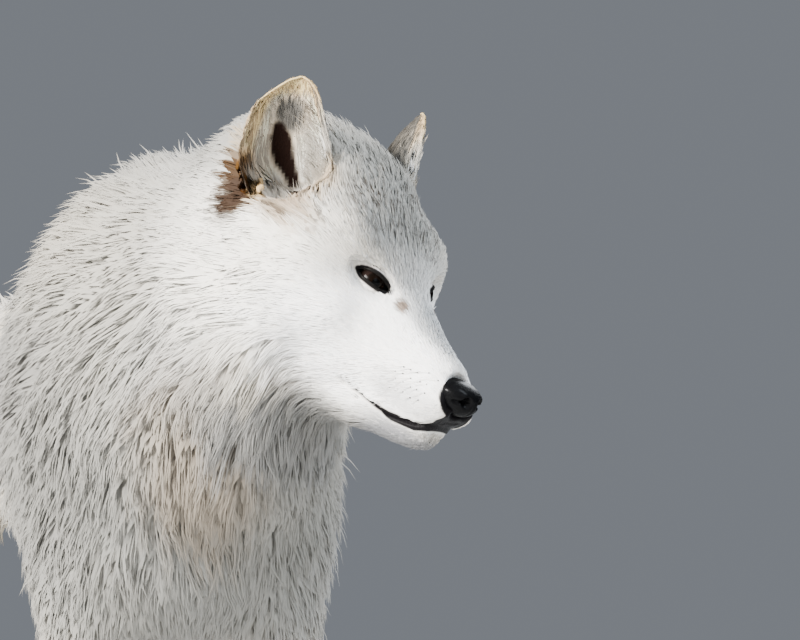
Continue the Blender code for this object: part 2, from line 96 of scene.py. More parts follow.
def smoothly(x, start, end):
    """0 at start and 1 at end, with an even rise between; start may be the greater."""
    t = np.clip((x - start) / (end - start), 0, 1)
    return t * t * (3 - 2 * t)


def unit(vectors):
    return vectors / np.maximum(np.linalg.norm(vectors, axis=-1, keepdims=True), 1e-9)


# The wolf is laid out straight along the room, then its back is bent: behind the shoulders the hindquarters
# swing to its right, round an arc of this length.
MIDLINE = 0.0225
BEND_START, BEND_LENGTH, BEND_TURN = -0.2002, 0.340, math.radians(16.0)
BEND_RADIUS = BEND_LENGTH / BEND_TURN


def swung(points, turn):
    """Turned about the upright, each by its own angle."""
    x, y, z = np.moveaxis(np.asarray(points, float), -1, 0)
    return np.stack([np.cos(turn) * x - np.sin(turn) * y, np.sin(turn) * x + np.cos(turn) * y, z], -1)


def bend_at(points):
    return np.clip((np.asarray(points, float)[..., 1] - BEND_START) / BEND_RADIUS, 0, BEND_TURN)


def bent(points):
    """Where places of the straight wolf lie once its back is bent."""
    points, turn = np.asarray(points, float), bend_at(points)
    arm = points - np.stack([0 * turn + MIDLINE - BEND_RADIUS, BEND_START + BEND_RADIUS * turn, 0 * turn], -1)
    return swung(arm, turn) + (MIDLINE - BEND_RADIUS, BEND_START, 0)


def straight(points):
    """The other way round: where places of the bent wolf lie on the straight one."""
    arm = np.asarray(points, float) - (MIDLINE - BEND_RADIUS, BEND_START, 0)
    turn = np.clip(np.arctan2(arm[..., 1], arm[..., 0]), 0, BEND_TURN)
    arm = swung(arm, -turn)
    return arm + np.stack([0 * turn + MIDLINE - BEND_RADIUS, BEND_START + BEND_RADIUS * turn, 0 * turn], -1)


def mesh_arrays(mesh):
    """Points, triangles and edges of a mesh."""
    points = np.empty(len(mesh.vertices) * 3)
    mesh.vertices.foreach_get("co", points)
    mesh.calc_loop_triangles()
    triangles = np.empty(len(mesh.loop_triangles) * 3, np.int64)
    mesh.loop_triangles.foreach_get("vertices", triangles)
    edges = np.empty(len(mesh.edges) * 2, np.int64)
    mesh.edges.foreach_get("vertices", edges)
    return points.reshape(-1, 3), triangles.reshape(-1, 3), edges.reshape(-1, 2)


def point_normals(points, triangles):
    a, b, c = (points[triangles[:, k]] for k in range(3))
    faces = np.cross(b - a, c - a)
    out = np.zeros_like(points)
    for k in range(3):
        for axis in range(3):
            out[:, axis] += np.bincount(triangles[:, k], faces[:, axis], len(points))
    return unit(out)


def relaxed(points, edges, rounds, amount):
    """Evens the points out over their neighbours; amount is 0 to 1 for each point."""
    count = np.bincount(edges.ravel(), minlength=len(points)).astype(float)
    for _ in range(rounds):
        mean = np.empty_like(points)
        for axis in range(3):
            mean[:, axis] = (
                np.bincount(edges[:, 0], points[edges[:, 1], axis], len(points))
                + np.bincount(edges[:, 1], points[edges[:, 0], axis], len(points))
            ) / np.maximum(count, 1)
        points = points + (mean - points) * np.asarray(amount).reshape(-1, 1)
    return points


together = bmesh.new()
for name in FLESH:
    part = bmesh.new()
    part.from_mesh(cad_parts[name].data)
    bmesh.ops.remove_doubles(part, verts=part.verts, dist=1e-5)
    part.normal_update()
    for v in part.verts:
        v.co += v.normal * 0.0009   # closes the cuts between the parts
    loose = bpy.data.meshes.new("part")
    part.to_mesh(loose)
    part.free()
    together.from_mesh(loose)
    bpy.data.meshes.remove(loose)
melt_mesh = bpy.data.meshes.new("melt")
together.to_mesh(melt_mesh)
together.free()
melt = stood("melt", melt_mesh)
MELT_GRAIN = 0.006
remesh = melt.modifiers.new("melt", "REMESH")
remesh.mode = "VOXEL"
remesh.voxel_size = MELT_GRAIN
melted = bpy.data.meshes.new_from_object(melt.evaluated_get(bpy.context.evaluated_depsgraph_get()))
bpy.data.objects.remove(melt)

EYE_RADIUS = 0.0118
EYE_LONG, LID_ABOVE, LID_BELOW = 0.0158, 0.0052, 0.0045   # half the opening's length, and its reach up and down
eyes = {}
for name, side in SIDES:
    ahead = HEAD_TURN @ np.array((side * 0.62, -0.72, 0.28))
    ahead /= np.linalg.norm(ahead)
    along = HEAD_TURN @ np.array((side * 0.580, 0.800, 0.140))
    along -= ahead * (along @ ahead)
    along /= np.linalg.norm(along)
    over = np.cross(ahead, along)
    over *= np.sign(over @ HEAD_TURN[:, 2])
    eyes[name] = (from_head((side * 0.0310, 0.1240, 0.0370)) + over * 0.0030, ahead, along, over)

MOUTH = np.transpose((
    # the line of the closed lips: how far behind the nose tip, and how far above it
    (0.0100, -0.0210), (0.0130, -0.0235), (0.0160, -0.0270), (0.0200, -0.0318),
    (0.0260, -0.0358), (0.0340, -0.0384), (0.0480, -0.0408), (0.0600, -0.0428),
    (0.0710, -0.0428), (0.0840, -0.0416), (0.0940, -0.0402), (0.1040, -0.0378),
))

surface = bmesh.new()
surface.from_mesh(melted)
surface.normal_update()


def refine(bm, choose, cuts):
    """Splits the edges whose ends both pass the test, which takes world points."""
    chosen = choose(np.array([v.co for v in bm.verts]))
    bm.verts.index_update()
    split = [e for e in bm.edges if chosen[e.verts[0].index] and chosen[e.verts[1].index]]
    bmesh.ops.subdivide_edges(bm, edges=split, cuts=cuts, use_grid_fill=True)


def on_the_face(points):
    local = to_head(points)
    return (local[:, 1] < 0.195) & (points[:, 2] > 0.52) & (local[:, 2] > -0.11)


def by_eye_or_mouth(points):
    local = to_head(points)
    near = np.zeros(len(points), bool)
    for centre, ahead, along, over in eyes.values():
        near |= np.linalg.norm(points - centre - ahead * 0.008, axis=1) < 0.024
    line = np.interp(local[:, 1], *MOUTH)
    near |= (np.abs(local[:, 2] - line) < 0.009) & (local[:, 1] < 0.110)
    return near


def on_a_paw(points):
    return points[:, 2] < 0.075


def by_ear(points):
    local = to_head(points)
    local[:, 0] = np.abs(local[:, 0])
    return np.linalg.norm(local - (0.052, 0.226, 0.078), axis=1) < 0.036


refine(surface, on_the_face, 3)
surface.verts.index_update()
rough = np.array([v.co for v in surface.verts])
for v, place in zip(surface.verts, relaxed(
    rough, np.array([[v.index for v in e.verts] for e in surface.edges]), 10, 0.5,
)):
    v.co = place
refine(surface, by_eye_or_mouth, 1)
refine(surface, on_a_paw, 1)
refine(surface, by_ear, 2)
body_points = len(surface.verts)

# The two ears join the same surface. Each is a cupped shell that opens forwards and outwards.
EAR_LENGTH = 0.1115
EAR_STEPS, EAR_TURNS = 72, 40   # faces up an ear, and round each of its two walls
EAR_SHAPE = np.array((
    # share of the ear's height, half its width there, and how far its middle is moved forwards
    (-0.20, 0.0426, 0.0), (0.200, 0.0415, 0.0), (0.406, 0.0390, -0.0009), (0.520, 0.0365, -0.0012),
    (0.634, 0.0328, -0.0009), (0.749, 0.0290, -0.0012), (0.806, 0.0266, -0.0006), (0.863, 0.0220, 0.0018),
    (0.920, 0.0163, 0.0042), (0.978, 0.0088, 0.0064), (1.000, 0.0022, 0.0078),
))
# share of the height, and how much of its width the back half of the ear keeps there
EAR_FOOT = np.transpose(((-0.20, 0.50), (0.05, 0.56), (0.14, 0.62), (0.24, 0.74), (0.36, 0.90), (0.50, 1.0)))
ear_axes = {}
for name, side in SIDES:
    axis = Vector((side * 0.30, 0.26, 1.0)).normalized()
    facing = Vector((side * 0.80, -0.72, 0.0))
    facing = (facing - axis * facing.dot(axis)).normalized()
    across = axis.cross(facing)
    root = Vector((side * 0.051, 0.214, 0.048))
    to_front = across * -math.copysign(1, across.y)
    ear_axes[name] = tuple(np.array(v) for v in (root, axis, facing, to_front))
    rings = []
    for step in range(EAR_STEPS + 1):
        share = math.sin(math.pi / 2 * step / EAR_STEPS)
        height = (-0.20 + 1.20 * share) * EAR_LENGTH
        grown = max(0.0, min(1.0, height / EAR_LENGTH))
        half, shift = (float(np.interp(height / EAR_LENGTH, EAR_SHAPE[:, 0], EAR_SHAPE[:, k])) for k in (1, 2))
        cup = half * (1.12 - 0.62 * grown)
        thick = 0.0075 + (0.0036 - 0.0075) * grown
        ring = []
        for shell in (1, -1):
            depth, reach = (cup, half) if shell > 0 else (cup - thick, half - thick * 0.45)
            depth, reach = max(depth, 0.0006), max(reach, 0.0006)
            for k in range(EAR_TURNS + 1):
                turn = shell * math.pi * (k / EAR_TURNS - 0.5)
                out, back = reach * math.sin(turn), depth * math.cos(turn)
                if out * across.dot(to_front) < 0:
                    out *= float(np.interp(height / EAR_LENGTH, *EAR_FOOT))
                place = root + axis * height + to_front * shift + across * out - facing * (back - cup * 0.45)
                ring.append(surface.verts.new(head @ place))
        rings.append([surface.edges.new((ring[k], ring[(k + 1) % len(ring)])) for k in range(len(ring))])
    made = []
    for first, second in zip(rings, rings[1:]):
        made += bmesh.ops.bridge_loops(surface, edges=first + second)["faces"]
    for end in (rings[0], rings[-1]):
        made += bmesh.ops.edgeloop_fill(surface, edges=end)["faces"]
    bmesh.ops.recalc_face_normals(surface, faces=made)
bmesh.ops.triangulate(surface, faces=[f for f in surface.faces if len(f.verts) > 4])
skin_mesh = bpy.data.meshes.new("skin")
surface.to_mesh(skin_mesh)
surface.free()
coat_points, triangles, edges = mesh_arrays(skin_mesh)
is_ear = np.arange(len(coat_points)) >= body_points


def in_ear(points, name):
    """Places in an ear's own frame: across towards its front edge, out of its opening, and up its length."""
    root, axis, facing, across = ear_axes[name]
    offset = to_head(points) - root
    return offset @ across, offset @ facing, offset @ axis


HOLLOWS = (
    # places down the hollow of the ear and its half width there, and the gap below the ear's front edge
    (
        ((0.0690, 0.2412, 0.1086), 0.0050), ((0.0640, 0.2393, 0.1012), 0.0085),
        ((0.0592, 0.2371, 0.0938), 0.0092), ((0.0547, 0.2347, 0.0871), 0.0084),
        ((0.0501, 0.2313, 0.0825), 0.0070), ((0.0460, 0.2284, 0.0777), 0.0060),
        ((0.0447, 0.2246, 0.0715), 0.0055), ((0.0435, 0.2201, 0.0718), 0.0048),
        ((0.0420, 0.2159, 0.0740), 0.0042),
    ),
    (
        ((0.0680, 0.1920, 0.0818), 0.0042), ((0.0651, 0.1865, 0.0850), 0.0042),
        ((0.0625, 0.1826, 0.0872), 0.0030),
    ),
)


def in_hollow(points, wider=0.0):
    """1 where a point of the head lies in the hollow of an ear, which is painted near black as shade."""
    local = to_head(points)
    local[:, 0] = np.abs(local[:, 0])
    best = np.full(len(points), 1.0)
    for (start, wide_start), (end, wide_end) in (pair for run in HOLLOWS for pair in zip(run, run[1:])):
        start, end = np.array(start), np.array(end)
        run = np.clip((local - start) @ (end - start) / ((end - start) @ (end - start)), 0, 1)
        away = np.linalg.norm(local - start - run[:, None] * (end - start), axis=1)
        best = np.minimum(best, away - wide_start - (wide_end - wide_start) * run)
    return smoothly(best, wider + 0.0020, wider - 0.0016)


def ear_form(points, name):
    """Where points lie in an ear: across, out, up, half its width and the depth of its cup there."""
    across, out, up = in_ear(points, name)
    half, shift = (np.interp(up / EAR_LENGTH, EAR_SHAPE[:, 0], EAR_SHAPE[:, k]) for k in (1, 2))
    across = across - shift
    cup = half * (1.12 - 0.62 * np.clip(up / EAR_LENGTH, 0, 1))
    half = half * np.where(across < 0, np.interp(up / EAR_LENGTH, *EAR_FOOT), 1)
    return across, out, up, half, cup


# the head's surface is pushed in behind each ear's shell, so that it doesn't fill the ear
tucked = np.zeros(len(coat_points))
for name, side in SIDES:
    across, out, up, half, cup = ear_form(coat_points, name)
    shell = cup * 0.45 - (cup + 0.0012) * np.sqrt(np.clip(1 - (across / half) ** 2, 0, 1))
    inward = np.clip(out - shell, 0, 0.03) * (out - shell < 0.026) * (np.abs(across) < half)
    inward = inward * (~is_ear) * (to_head(coat_points)[:, 0] * side > 0)
    share = smoothly(up, 0.016, 0.030) * smoothly(across, 0.022, 0.008)
    inward = inward * share
    coat_points = coat_points - (HEAD_TURN @ ear_axes[name][2]) * inward[:, None]
    tucked = np.maximum(tucked, inward * (share > 0.8))

# the inner face of each ear, its greying upper part, and the outer face, whose mark is below 0
inside, greying, ear_face = (np.zeros(len(coat_points)) for _ in range(3))
for name, side in SIDES:
    across, out, up, half, cup = ear_form(coat_points, name)
    thick = 0.0075 - 0.0039 * np.clip(up / EAR_LENGTH, 0, 1)
    bowl = np.hypot(across / half, (out - cup * 0.45) / cup)
    edge = 1 - 0.55 * thick / cup
    mine = is_ear & (to_head(coat_points)[:, 0] * side > 0)
    inside = np.where(mine, smoothly(bowl, edge + 0.03, edge - 0.01), inside)
    inset = half - np.abs(across)
    rim = np.where(across < 0, smoothly(inset, 0.0150, 0.0100), smoothly(inset, 0.0080, 0.0045))
    rim = rim * np.where(across < 0, smoothly(up, 0.022, 0.048), 1)
    rim = np.maximum(rim, smoothly(EAR_LENGTH - up, 0.020, 0.012))
    ear_face = np.where(mine, inside * (1 - rim) - (1 - inside) * np.where(
        across < 0, smoothly(inset, 0.005, 0.015), smoothly(inset, 0.001, 0.005),
    ), ear_face)
    grey = smoothly(np.hypot((across - 0.002) / 0.0145, (up - 0.0785) / 0.0165), 1.15, 0.6)
    greying = np.where(mine, grey * inside, greying)
hollow = in_hollow(coat_points) * np.where(is_ear, inside, 1)
for name, side in SIDES:
    deeper = hollow * (to_head(coat_points)[:, 0] * side > 0) * 0.0010
    coat_points = coat_points - (HEAD_TURN @ ear_axes[name][2]) * deeper[:, None]

# ------------------------------------------------------------------ coat map
# How the hair grows: which way it lies, how deep the coat is over the skin, and how long, thick and close its
# tufts are. It is known at named places and runs evenly between them.

# place (across, behind the nose tip, above it), lie, depth, length, thickness, spacing, lock; lengths in mm
HEAD_COAT = {
    "nose_bridge": ((0.000, 0.032, 0.018), (0.0, 1.0, 0.15), 1.2, 5, 0.9, 1.7, 2.5),
    "muzzle_top": ((0.000, 0.070, 0.028), (0.0, 1.0, 0.2), 1.5, 7, 0.9, 1.8, 3),
    "muzzle_side": ((0.026, 0.050, -0.010), (0.2, 1.0, -0.15), 1.6, 7, 0.9, 1.8, 3),
    "lip_front": ((0.014, 0.020, -0.024), (0.35, 0.9, -0.4), 1.0, 5, 0.8, 1.6, 2.5),
    "lip_side": ((0.028, 0.068, -0.030), (0.25, 0.95, -0.3), 1.6, 8, 0.9, 1.8, 3),
    "stop": ((0.000, 0.108, 0.045), (0.0, 0.85, 0.5), 2.0, 8, 0.9, 1.8, 3),
    "inner_eye": ((0.024, 0.100, 0.026), (0.35, 0.9, 0.1), 0.8, 5, 0.8, 1.6, 2.5),
    "eye": ((0.040, 0.116, 0.040), (0.55, 0.8, 0.1), 0.5, 4, 0.8, 1.6, 2.5),
    "brow": ((0.036, 0.122, 0.058), (0.45, 0.8, 0.45), 2.0, 9, 0.9, 1.8, 3.5),
    "outer_eye": ((0.052, 0.138, 0.045), (0.45, 0.9, 0.15), 1.5, 9, 0.9, 1.8, 3.5),
    "under_eye": ((0.042, 0.114, 0.016), (0.45, 0.9, -0.15), 1.6, 8, 0.9, 1.8, 3.5),
    "forehead": ((0.000, 0.150, 0.078), (0.0, 0.9, 0.5), 4.0, 13, 1.1, 2.1, 5),
    "forehead_side": ((0.035, 0.156, 0.078), (0.3, 0.9, 0.4), 4.0, 14, 1.1, 2.1, 5),
    "crown": ((0.000, 0.215, 0.122), (0.0, 1.0, 0.2), 15, 32, 1.4, 2.8, 9),
    "cheekbone": ((0.062, 0.140, 0.006), (0.4, 0.95, -0.2), 4.5, 17, 1.1, 2.1, 6),
    "temple": ((0.078, 0.170, 0.045), (0.35, 0.95, 0.0), 9, 26, 1.3, 2.5, 8),
    "cheek": ((0.088, 0.192, -0.015), (0.25, 0.80, -0.58), 17, 44, 1.5, 2.8, 11),
    "low_cheek": ((0.064, 0.165, -0.065), (-0.15, 0.35, -0.95), 16, 44, 1.5, 2.8, 10),
    "mouth_corner": ((0.040, 0.104, -0.042), (0.25, 0.95, -0.35), 3.5, 14, 1.0, 2.1, 5),
    "chin": ((0.000, 0.034, -0.056), (0.0, 1.0, -0.2), 1.5, 7, 0.9, 1.8, 3),
    "chin_side": ((0.018, 0.052, -0.050), (0.15, 1.0, -0.2), 1.5, 8, 0.9, 1.8, 3),
    "jaw_under": ((0.000, 0.090, -0.068), (0.0, 0.95, -0.35), 4, 15, 1.1, 2.2, 5),
    "throat_front": ((0.000, 0.150, -0.090), (0.0, 0.7, -0.75), 14, 34, 1.4, 3.0, 9),
    "ear_front": ((0.058, 0.192, 0.088), (0.25, 0.35, 0.9), 4, 16, 1.1, 2.2, 5),
    "ear_low": ((0.070, 0.232, 0.090), (0.28, 0.24, 0.93), 1.8, 12, 1.1, 2.2, 4),
    "ear_high": ((0.082, 0.240, 0.130), (0.28, 0.24, 0.93), 1.4, 10, 1.0, 2.1, 3.5),
    "ear_tip": ((0.085, 0.243, 0.160), (0.28, 0.24, 0.93), 1.0, 7, 0.9, 1.9, 3),
    "behind_ear": ((0.062, 0.258, 0.075), (0.3, 0.9, -0.2), 15, 34, 1.4, 3.0, 9),
    "ear_foot": ((0.086, 0.240, 0.046), (0.35, 0.8, -0.4), 7, 18, 1.2, 2.4, 6),
}
# place on the straight wolf, in the room: its left is +x, its tail +y
BODY_COAT = {
    "nape": ((0.052, -0.390, 0.850), (-0.15, 0.95, -0.1), 30, 62, 1.7, 3.3, 12),
    "mane_top": ((0.022, -0.300, 0.842), (0.0, 1.0, -0.15), 38, 74, 1.8, 3.4, 13),
    "mane_right": ((-0.113, -0.340, 0.700), (-0.15, 0.75, -0.65), 38, 72, 1.7, 3.3, 13),
    "mane_right_high": ((-0.069, -0.390, 0.790), (-0.3, 0.85, -0.4), 36, 70, 1.7, 3.3, 13),
    "mane_front_right": ((-0.044, -0.470, 0.690), (-0.55, 0.35, -0.75), 32, 62, 1.6, 3.2, 12),
    "mane_left": ((0.162, -0.320, 0.720), (0.15, 0.8, -0.6), 38, 72, 1.8, 3.6, 13),
    "throat": ((0.086, -0.505, 0.600), (0.05, 0.15, -1.0), 26, 52, 1.5, 3.1, 11),
    "throat_right": ((0.012, -0.490, 0.610), (-0.2, 0.0, -1.0), 30, 58, 1.6, 3.2, 12),
    "throat_left": ((0.142, -0.440, 0.590), (0.3, 0.25, -0.9), 26, 52, 1.6, 3.2, 12),
    "chest": ((0.022, -0.440, 0.540), (0.02, 0.05, -1.0), 34, 68, 1.7, 3.3, 13),
    "chest_right": ((-0.088, -0.390, 0.590), (-0.15, 0.25, -1.0), 34, 68, 1.7, 3.3, 13),
    "chest_left": ((0.137, -0.390, 0.530), (0.25, 0.2, -1.0), 28, 58, 1.7, 3.3, 12),
    "low_chest": ((0.027, -0.390, 0.450), (0.0, 0.35, -0.95), 26, 56, 1.8, 3.6, 12),
    "shoulder_right": ((-0.129, -0.220, 0.600), (0.0, 0.6, -0.8), 30, 62, 2.3, 4.8, 14),
    "shoulder_left": ((0.172, -0.220, 0.600), (0.0, 0.6, -0.8), 30, 62, 2.3, 4.8, 14),
    "withers": ((0.022, -0.180, 0.790), (0.0, 1.0, -0.05), 36, 72, 2.4, 4.8, 15),
    "back": ((0.022, 0.060, 0.735), (0.0, 1.0, 0.0), 30, 60, 2.9, 5.6, 16),
    "croup": ((0.022, 0.330, 0.715), (0.0, 1.0, -0.25), 28, 56, 2.8, 5.6, 15),
    "flank_right": ((-0.133, -0.030, 0.620), (0.0, 0.9, -0.4), 30, 60, 2.9, 5.6, 16),
    "flank_left": ((0.179, -0.030, 0.620), (0.0, 0.9, -0.4), 30, 60, 2.9, 5.6, 16),
    "loin_right": ((-0.118, 0.160, 0.620), (0.0, 0.88, -0.45), 28, 58, 2.9, 5.6, 16),
    "loin_left": ((0.167, 0.160, 0.620), (0.0, 0.88, -0.45), 28, 58, 2.9, 5.6, 16),
    "belly": ((0.022, -0.050, 0.470), (0.0, 0.95, -0.25), 26, 56, 2.7, 5.6, 15),
    "groin": ((0.022, 0.180, 0.515), (0.0, 0.9, -0.4), 20, 44, 2.4, 5.0, 13),
    "rump": ((0.022, 0.460, 0.640), (0.0, 0.45, -0.9), 26, 52, 2.5, 5.2, 14),
    "tail_root": ((0.022, 0.500, 0.680), (0.0, 0.85, -0.5), 24, 48, 2.2, 4.8, 12),
    "tail_high": ((0.017, 0.560, 0.600), (0.0, 0.35, -0.95), 34, 66, 2.3, 5.0, 13),
    "tail_middle": ((0.012, 0.570, 0.470), (0.0, 0.05, -1.0), 40, 74, 2.4, 5.0, 13),
    "tail_low": ((0.006, 0.570, 0.370), (0.0, -0.05, -1.0), 34, 66, 2.2, 4.6, 12),
    "tail_tip": ((0.002, 0.565, 0.280), (0.0, -0.1, -1.0), 14, 40, 1.6, 3.6, 9),
}
# the same on both sides; across is from the body's midline
LEG_COAT = {
    "elbow": ((0.100, -0.260, 0.440), (0.0, 0.2, -1.0), 15, 34, 1.7, 3.6, 9),
    "elbow_back": ((0.080, -0.185, 0.430), (0.0, 0.6, -0.8), 18, 42, 1.8, 3.8, 10),
    "forearm": ((0.078, -0.280, 0.330), (0.0, 0.1, -1.0), 7, 20, 1.4, 3.0, 6),
    "wrist": ((0.074, -0.290, 0.190), (0.0, 0.05, -1.0), 4.5, 14, 1.2, 2.7, 5),
    "pastern": ((0.074, -0.305, 0.100), (0.0, -0.25, -1.0), 4.5, 14, 1.2, 2.7, 5),
    "forepaw": ((0.074, -0.340, 0.050), (0.0, -0.85, -0.5), 4.0, 13, 1.2, 2.6, 5),
    "foretoes": ((0.074, -0.375, 0.025), (0.0, -0.8, -0.6), 3.0, 10, 1.1, 2.4, 4),
    "thigh": ((0.145, 0.280, 0.540), (0.0, 0.5, -0.9), 22, 46, 2.2, 4.8, 12),
    "thigh_back": ((0.090, 0.390, 0.520), (0.0, 0.5, -0.85), 24, 52, 2.2, 4.8, 12),
    "stifle": ((0.130, 0.200, 0.450), (0.0, 0.3, -0.95), 16, 36, 1.9, 4.2, 10),
    "shin": ((0.105, 0.290, 0.360), (0.0, 0.55, -0.85), 9, 24, 1.5, 3.3, 7),
    "hock": ((0.085, 0.390, 0.250), (0.0, 0.4, -0.9), 6, 18, 1.3, 3.0, 6),
    "cannon": ((0.078, 0.405, 0.150), (0.0, -0.05, -1.0), 5, 15, 1.2, 2.8, 5),
    "hindpaw": ((0.078, 0.345, 0.045), (0.0, -0.85, -0.5), 4.0, 13, 1.2, 2.6, 5),
    "hindtoes": ((0.078, 0.310, 0.022), (0.0, -0.8, -0.6), 3.0, 10, 1.1, 2.4, 4),
}

places, lies, sizes = [], [], []
for place, lie, *size in HEAD_COAT.values():
    for _, side in SIDES:
        places.append(from_head((place[0] * side, *place[1:])))
        lies.append(HEAD_TURN @ (lie[0] * side, *lie[1:]))
        sizes.append(size)
on_the_body = list(BODY_COAT.values())
for place, lie, *size in LEG_COAT.values():
    for _, side in SIDES:
        on_the_body.append(((MIDLINE + place[0] * side, *place[1:]), (lie[0] * side, *lie[1:]), *size))
for place, lie, *size in on_the_body:
    places.append(bent(place))
    lies.append(swung(lie, bend_at(place)))
    sizes.append(size)
places, lies = np.array(places), unit(np.array(lies))
sizes = np.array(sizes, float) / 1000


def coat_at(points):
    """Lie of the hair, and its depth, length, thickness, spacing and lock size, in metres, at each point."""
    lie, size = np.empty((len(points), 3)), np.empty((len(points), sizes.shape[1]))
    for start in range(0, len(points), 20000):
        some = slice(start, start + 20000)
        away = ((points[some, None, :] - places[None]) ** 2).sum(-1)
        weight = (away + 0.006 ** 2) ** -2.2
        weight /= weight.sum(1, keepdims=True)
        lie[some] = weight @ lies
        size[some] = np.exp(weight @ np.log(sizes))
    return unit(lie), size


# ------------------------------------------------------------------ skin
# One skin for the whole wolf, drawn in from the coat's outline, with the folds of the face worked into it:
# lids round the eyes, the mouth's crease and lips, the furrow of the forehead.

depth = coat_at(coat_points)[1][:, 0]
depth[is_ear] = np.minimum(depth[is_ear], 0.0012)
skin_points = coat_points.copy()
soften = 0.35 * smoothly(depth, 0.008, 0.02)
soften[is_ear] = 0
for _ in range(10):
    normals = point_normals(skin_points, triangles)
    skin_points = skin_points - normals * (depth / 10)[:, None]
    skin_points = relaxed(skin_points, edges, 2, soften)
hair_reach = coat_points - skin_points


def eye_opening(points, centre, ahead, along, over):
    """Place along, over and ahead of an eye's middle, and the distance outside its almond of lids."""
    offset = points - centre
    u, v, w = offset @ along, offset @ over, offset @ ahead
    bow = np.clip(1 - (u / EYE_LONG) ** 2, 0, 1) ** (0.50 + 0.30 * smoothly(u, -0.016, 0.016))
    half = np.where(v > 0, LID_ABOVE, LID_BELOW) * bow
    beyond = np.maximum(np.abs(u) - 0.0150, 0)
    outside = np.where(beyond > 0, np.hypot(beyond, v), np.abs(v) - half)
    return u, v, w, outside


lid_edge = np.full(len(skin_points), 1.0)
for centre, ahead, along, over in eyes.values():
    u, v, w, outside = eye_opening(skin_points, centre, ahead, along, over)
    near = (np.abs(u) < 0.030) & (np.abs(v) < 0.022) & (w > -0.006) & (w < 0.035) & ~is_ear
    ring = np.minimum(np.hypot(u, v), 0.0100)
    lid = np.sqrt((EYE_RADIUS + 0.0013) ** 2 - ring ** 2)
    blend = smoothly(outside, 0.0, 0.0115)
    ball = np.sqrt(np.maximum(EYE_RADIUS ** 2 - u ** 2 - v ** 2, 0))
    fold = 0.0009 * np.exp(-((outside - 0.0042) / 0.0011) ** 2)
    socket = np.minimum(w, np.maximum(ball - 0.003, 0.003))
    goal = np.where(outside > 0, lid * (1 - blend) + w * blend - fold, socket)
    skin_points = skin_points + np.where(near, goal - w, 0)[:, None] * ahead
    lid_edge = np.where(near, np.minimum(lid_edge, outside), lid_edge)

local = to_head(skin_points)
normals = point_normals(skin_points, triangles)
over_mouth = local[:, 2] - np.interp(local[:, 1], *MOUTH)
at_mouth = smoothly(local[:, 1], 0.112, 0.104) * (~is_ear) * (local[:, 1] > 0.004)
at_mouth = at_mouth * (np.abs(local[:, 0]) < 0.06)
shaping = (
    -0.0030 * np.exp(-(over_mouth / 0.0013) ** 2)
    + 0.0010 * np.exp(-((over_mouth - 0.0032) / 0.0022) ** 2)
    + 0.0006 * np.exp(-((over_mouth + 0.0036) / 0.0022) ** 2)
)
shaping = shaping * at_mouth * (0.35 + 0.65 * smoothly(local[:, 1], 0.020, 0.034))
skin_points = skin_points + normals * shaping[:, None]
furrow = 0.0016 * np.exp(-(local[:, 0] / 0.005) ** 2) * smoothly(local[:, 1], 0.092, 0.118)
furrow = furrow * smoothly(local[:, 1], 0.185, 0.150) * (local[:, 2] > 0.02) * (~is_ear)
skin_points = skin_points - normals * furrow[:, None]
paws = {}
for kind, length, width in (("forepaw", 0.112, 0.094), ("hindpaw", 0.104, 0.088)):
    for name, side in SIDES:
        shape = straight([v.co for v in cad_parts[f"{kind}_{name}"].data.vertices])
        (low_x, low_y, _), (high_x, _, _) = shape.min(0), shape.max(0)
        paws[f"{kind}_{name}"] = ((low_x + high_x) / 2, low_y + 0.003, length, width)
unbent = straight(skin_points)
for x, y, length, width in paws.values():
    across, back = (unbent[:, 0] - x) / width, (unbent[:, 1] - y) / length
    there = (np.abs(across) < 0.7) & (back > -0.1) & (back < 0.7) & (skin_points[:, 2] < 0.075)
    between = np.zeros(len(skin_points))
    for gap, deep in ((-0.25, 0.8), (0.0, 1.0), (0.25, 0.8)):
        between = np.maximum(between, deep * np.exp(-((across - gap * (0.9 + 0.2 * back)) / 0.050) ** 2))
    knuckles = 0.0022 * np.exp(-((back - 0.20) / 0.10) ** 2) * (1 - between)
    cleft = 0.0062 * between * smoothly(back, 0.52, 0.18)
    skin_points = skin_points + normals * (there * (knuckles - cleft))[:, None]
coat_points = skin_points + hair_reach

# where the skin is bare and black: the lips, the rims and inner corners of the eyes, and round the nose
lip_height = np.interp(
    local[:, 1],
    (0.012, 0.022, 0.034, 0.055, 0.066, 0.085, 0.110),
    (0.0016, 0.0030, 0.0052, 0.0042, 0.0014, 0.0006, 0.0006),
)
lip = smoothly(over_mouth, -lip_height - 0.0010, -lip_height) * smoothly(over_mouth, 0.0020, 0.0008) * at_mouth
over_lip = 0.0006 + 0.0115 * smoothly(np.abs(local[:, 0]), 0.0170, 0.0105) * smoothly(local[:, 1], 0.027, 0.018)
upper_lip = smoothly(over_mouth, over_lip + 0.001, over_lip) * (over_mouth > -0.001)
upper_lip = upper_lip * smoothly(local[:, 1], 0.052, 0.040) * at_mouth
rims = smoothly(lid_edge, 0.0032, 0.0018)
inner_corner = np.zeros(len(skin_points))
for centre, ahead, along, over in eyes.values():
    corner = centre + ahead * 0.0066 - along * 0.0160 - over * 0.0004
    away = np.linalg.norm(skin_points - corner, axis=1)
    inner_corner = np.maximum(inner_corner, smoothly(away, 0.0038, 0.0024))
away = np.linalg.norm((local - (0, 0.0165, -0.0086)) / (0.0232, 0.0190, 0.0156), axis=1)
nose_seat = smoothly(away, 1.05, 0.98)
bare = np.clip(np.maximum.reduce([lip, upper_lip, rims, inner_corner, nose_seat]), 0, 1)

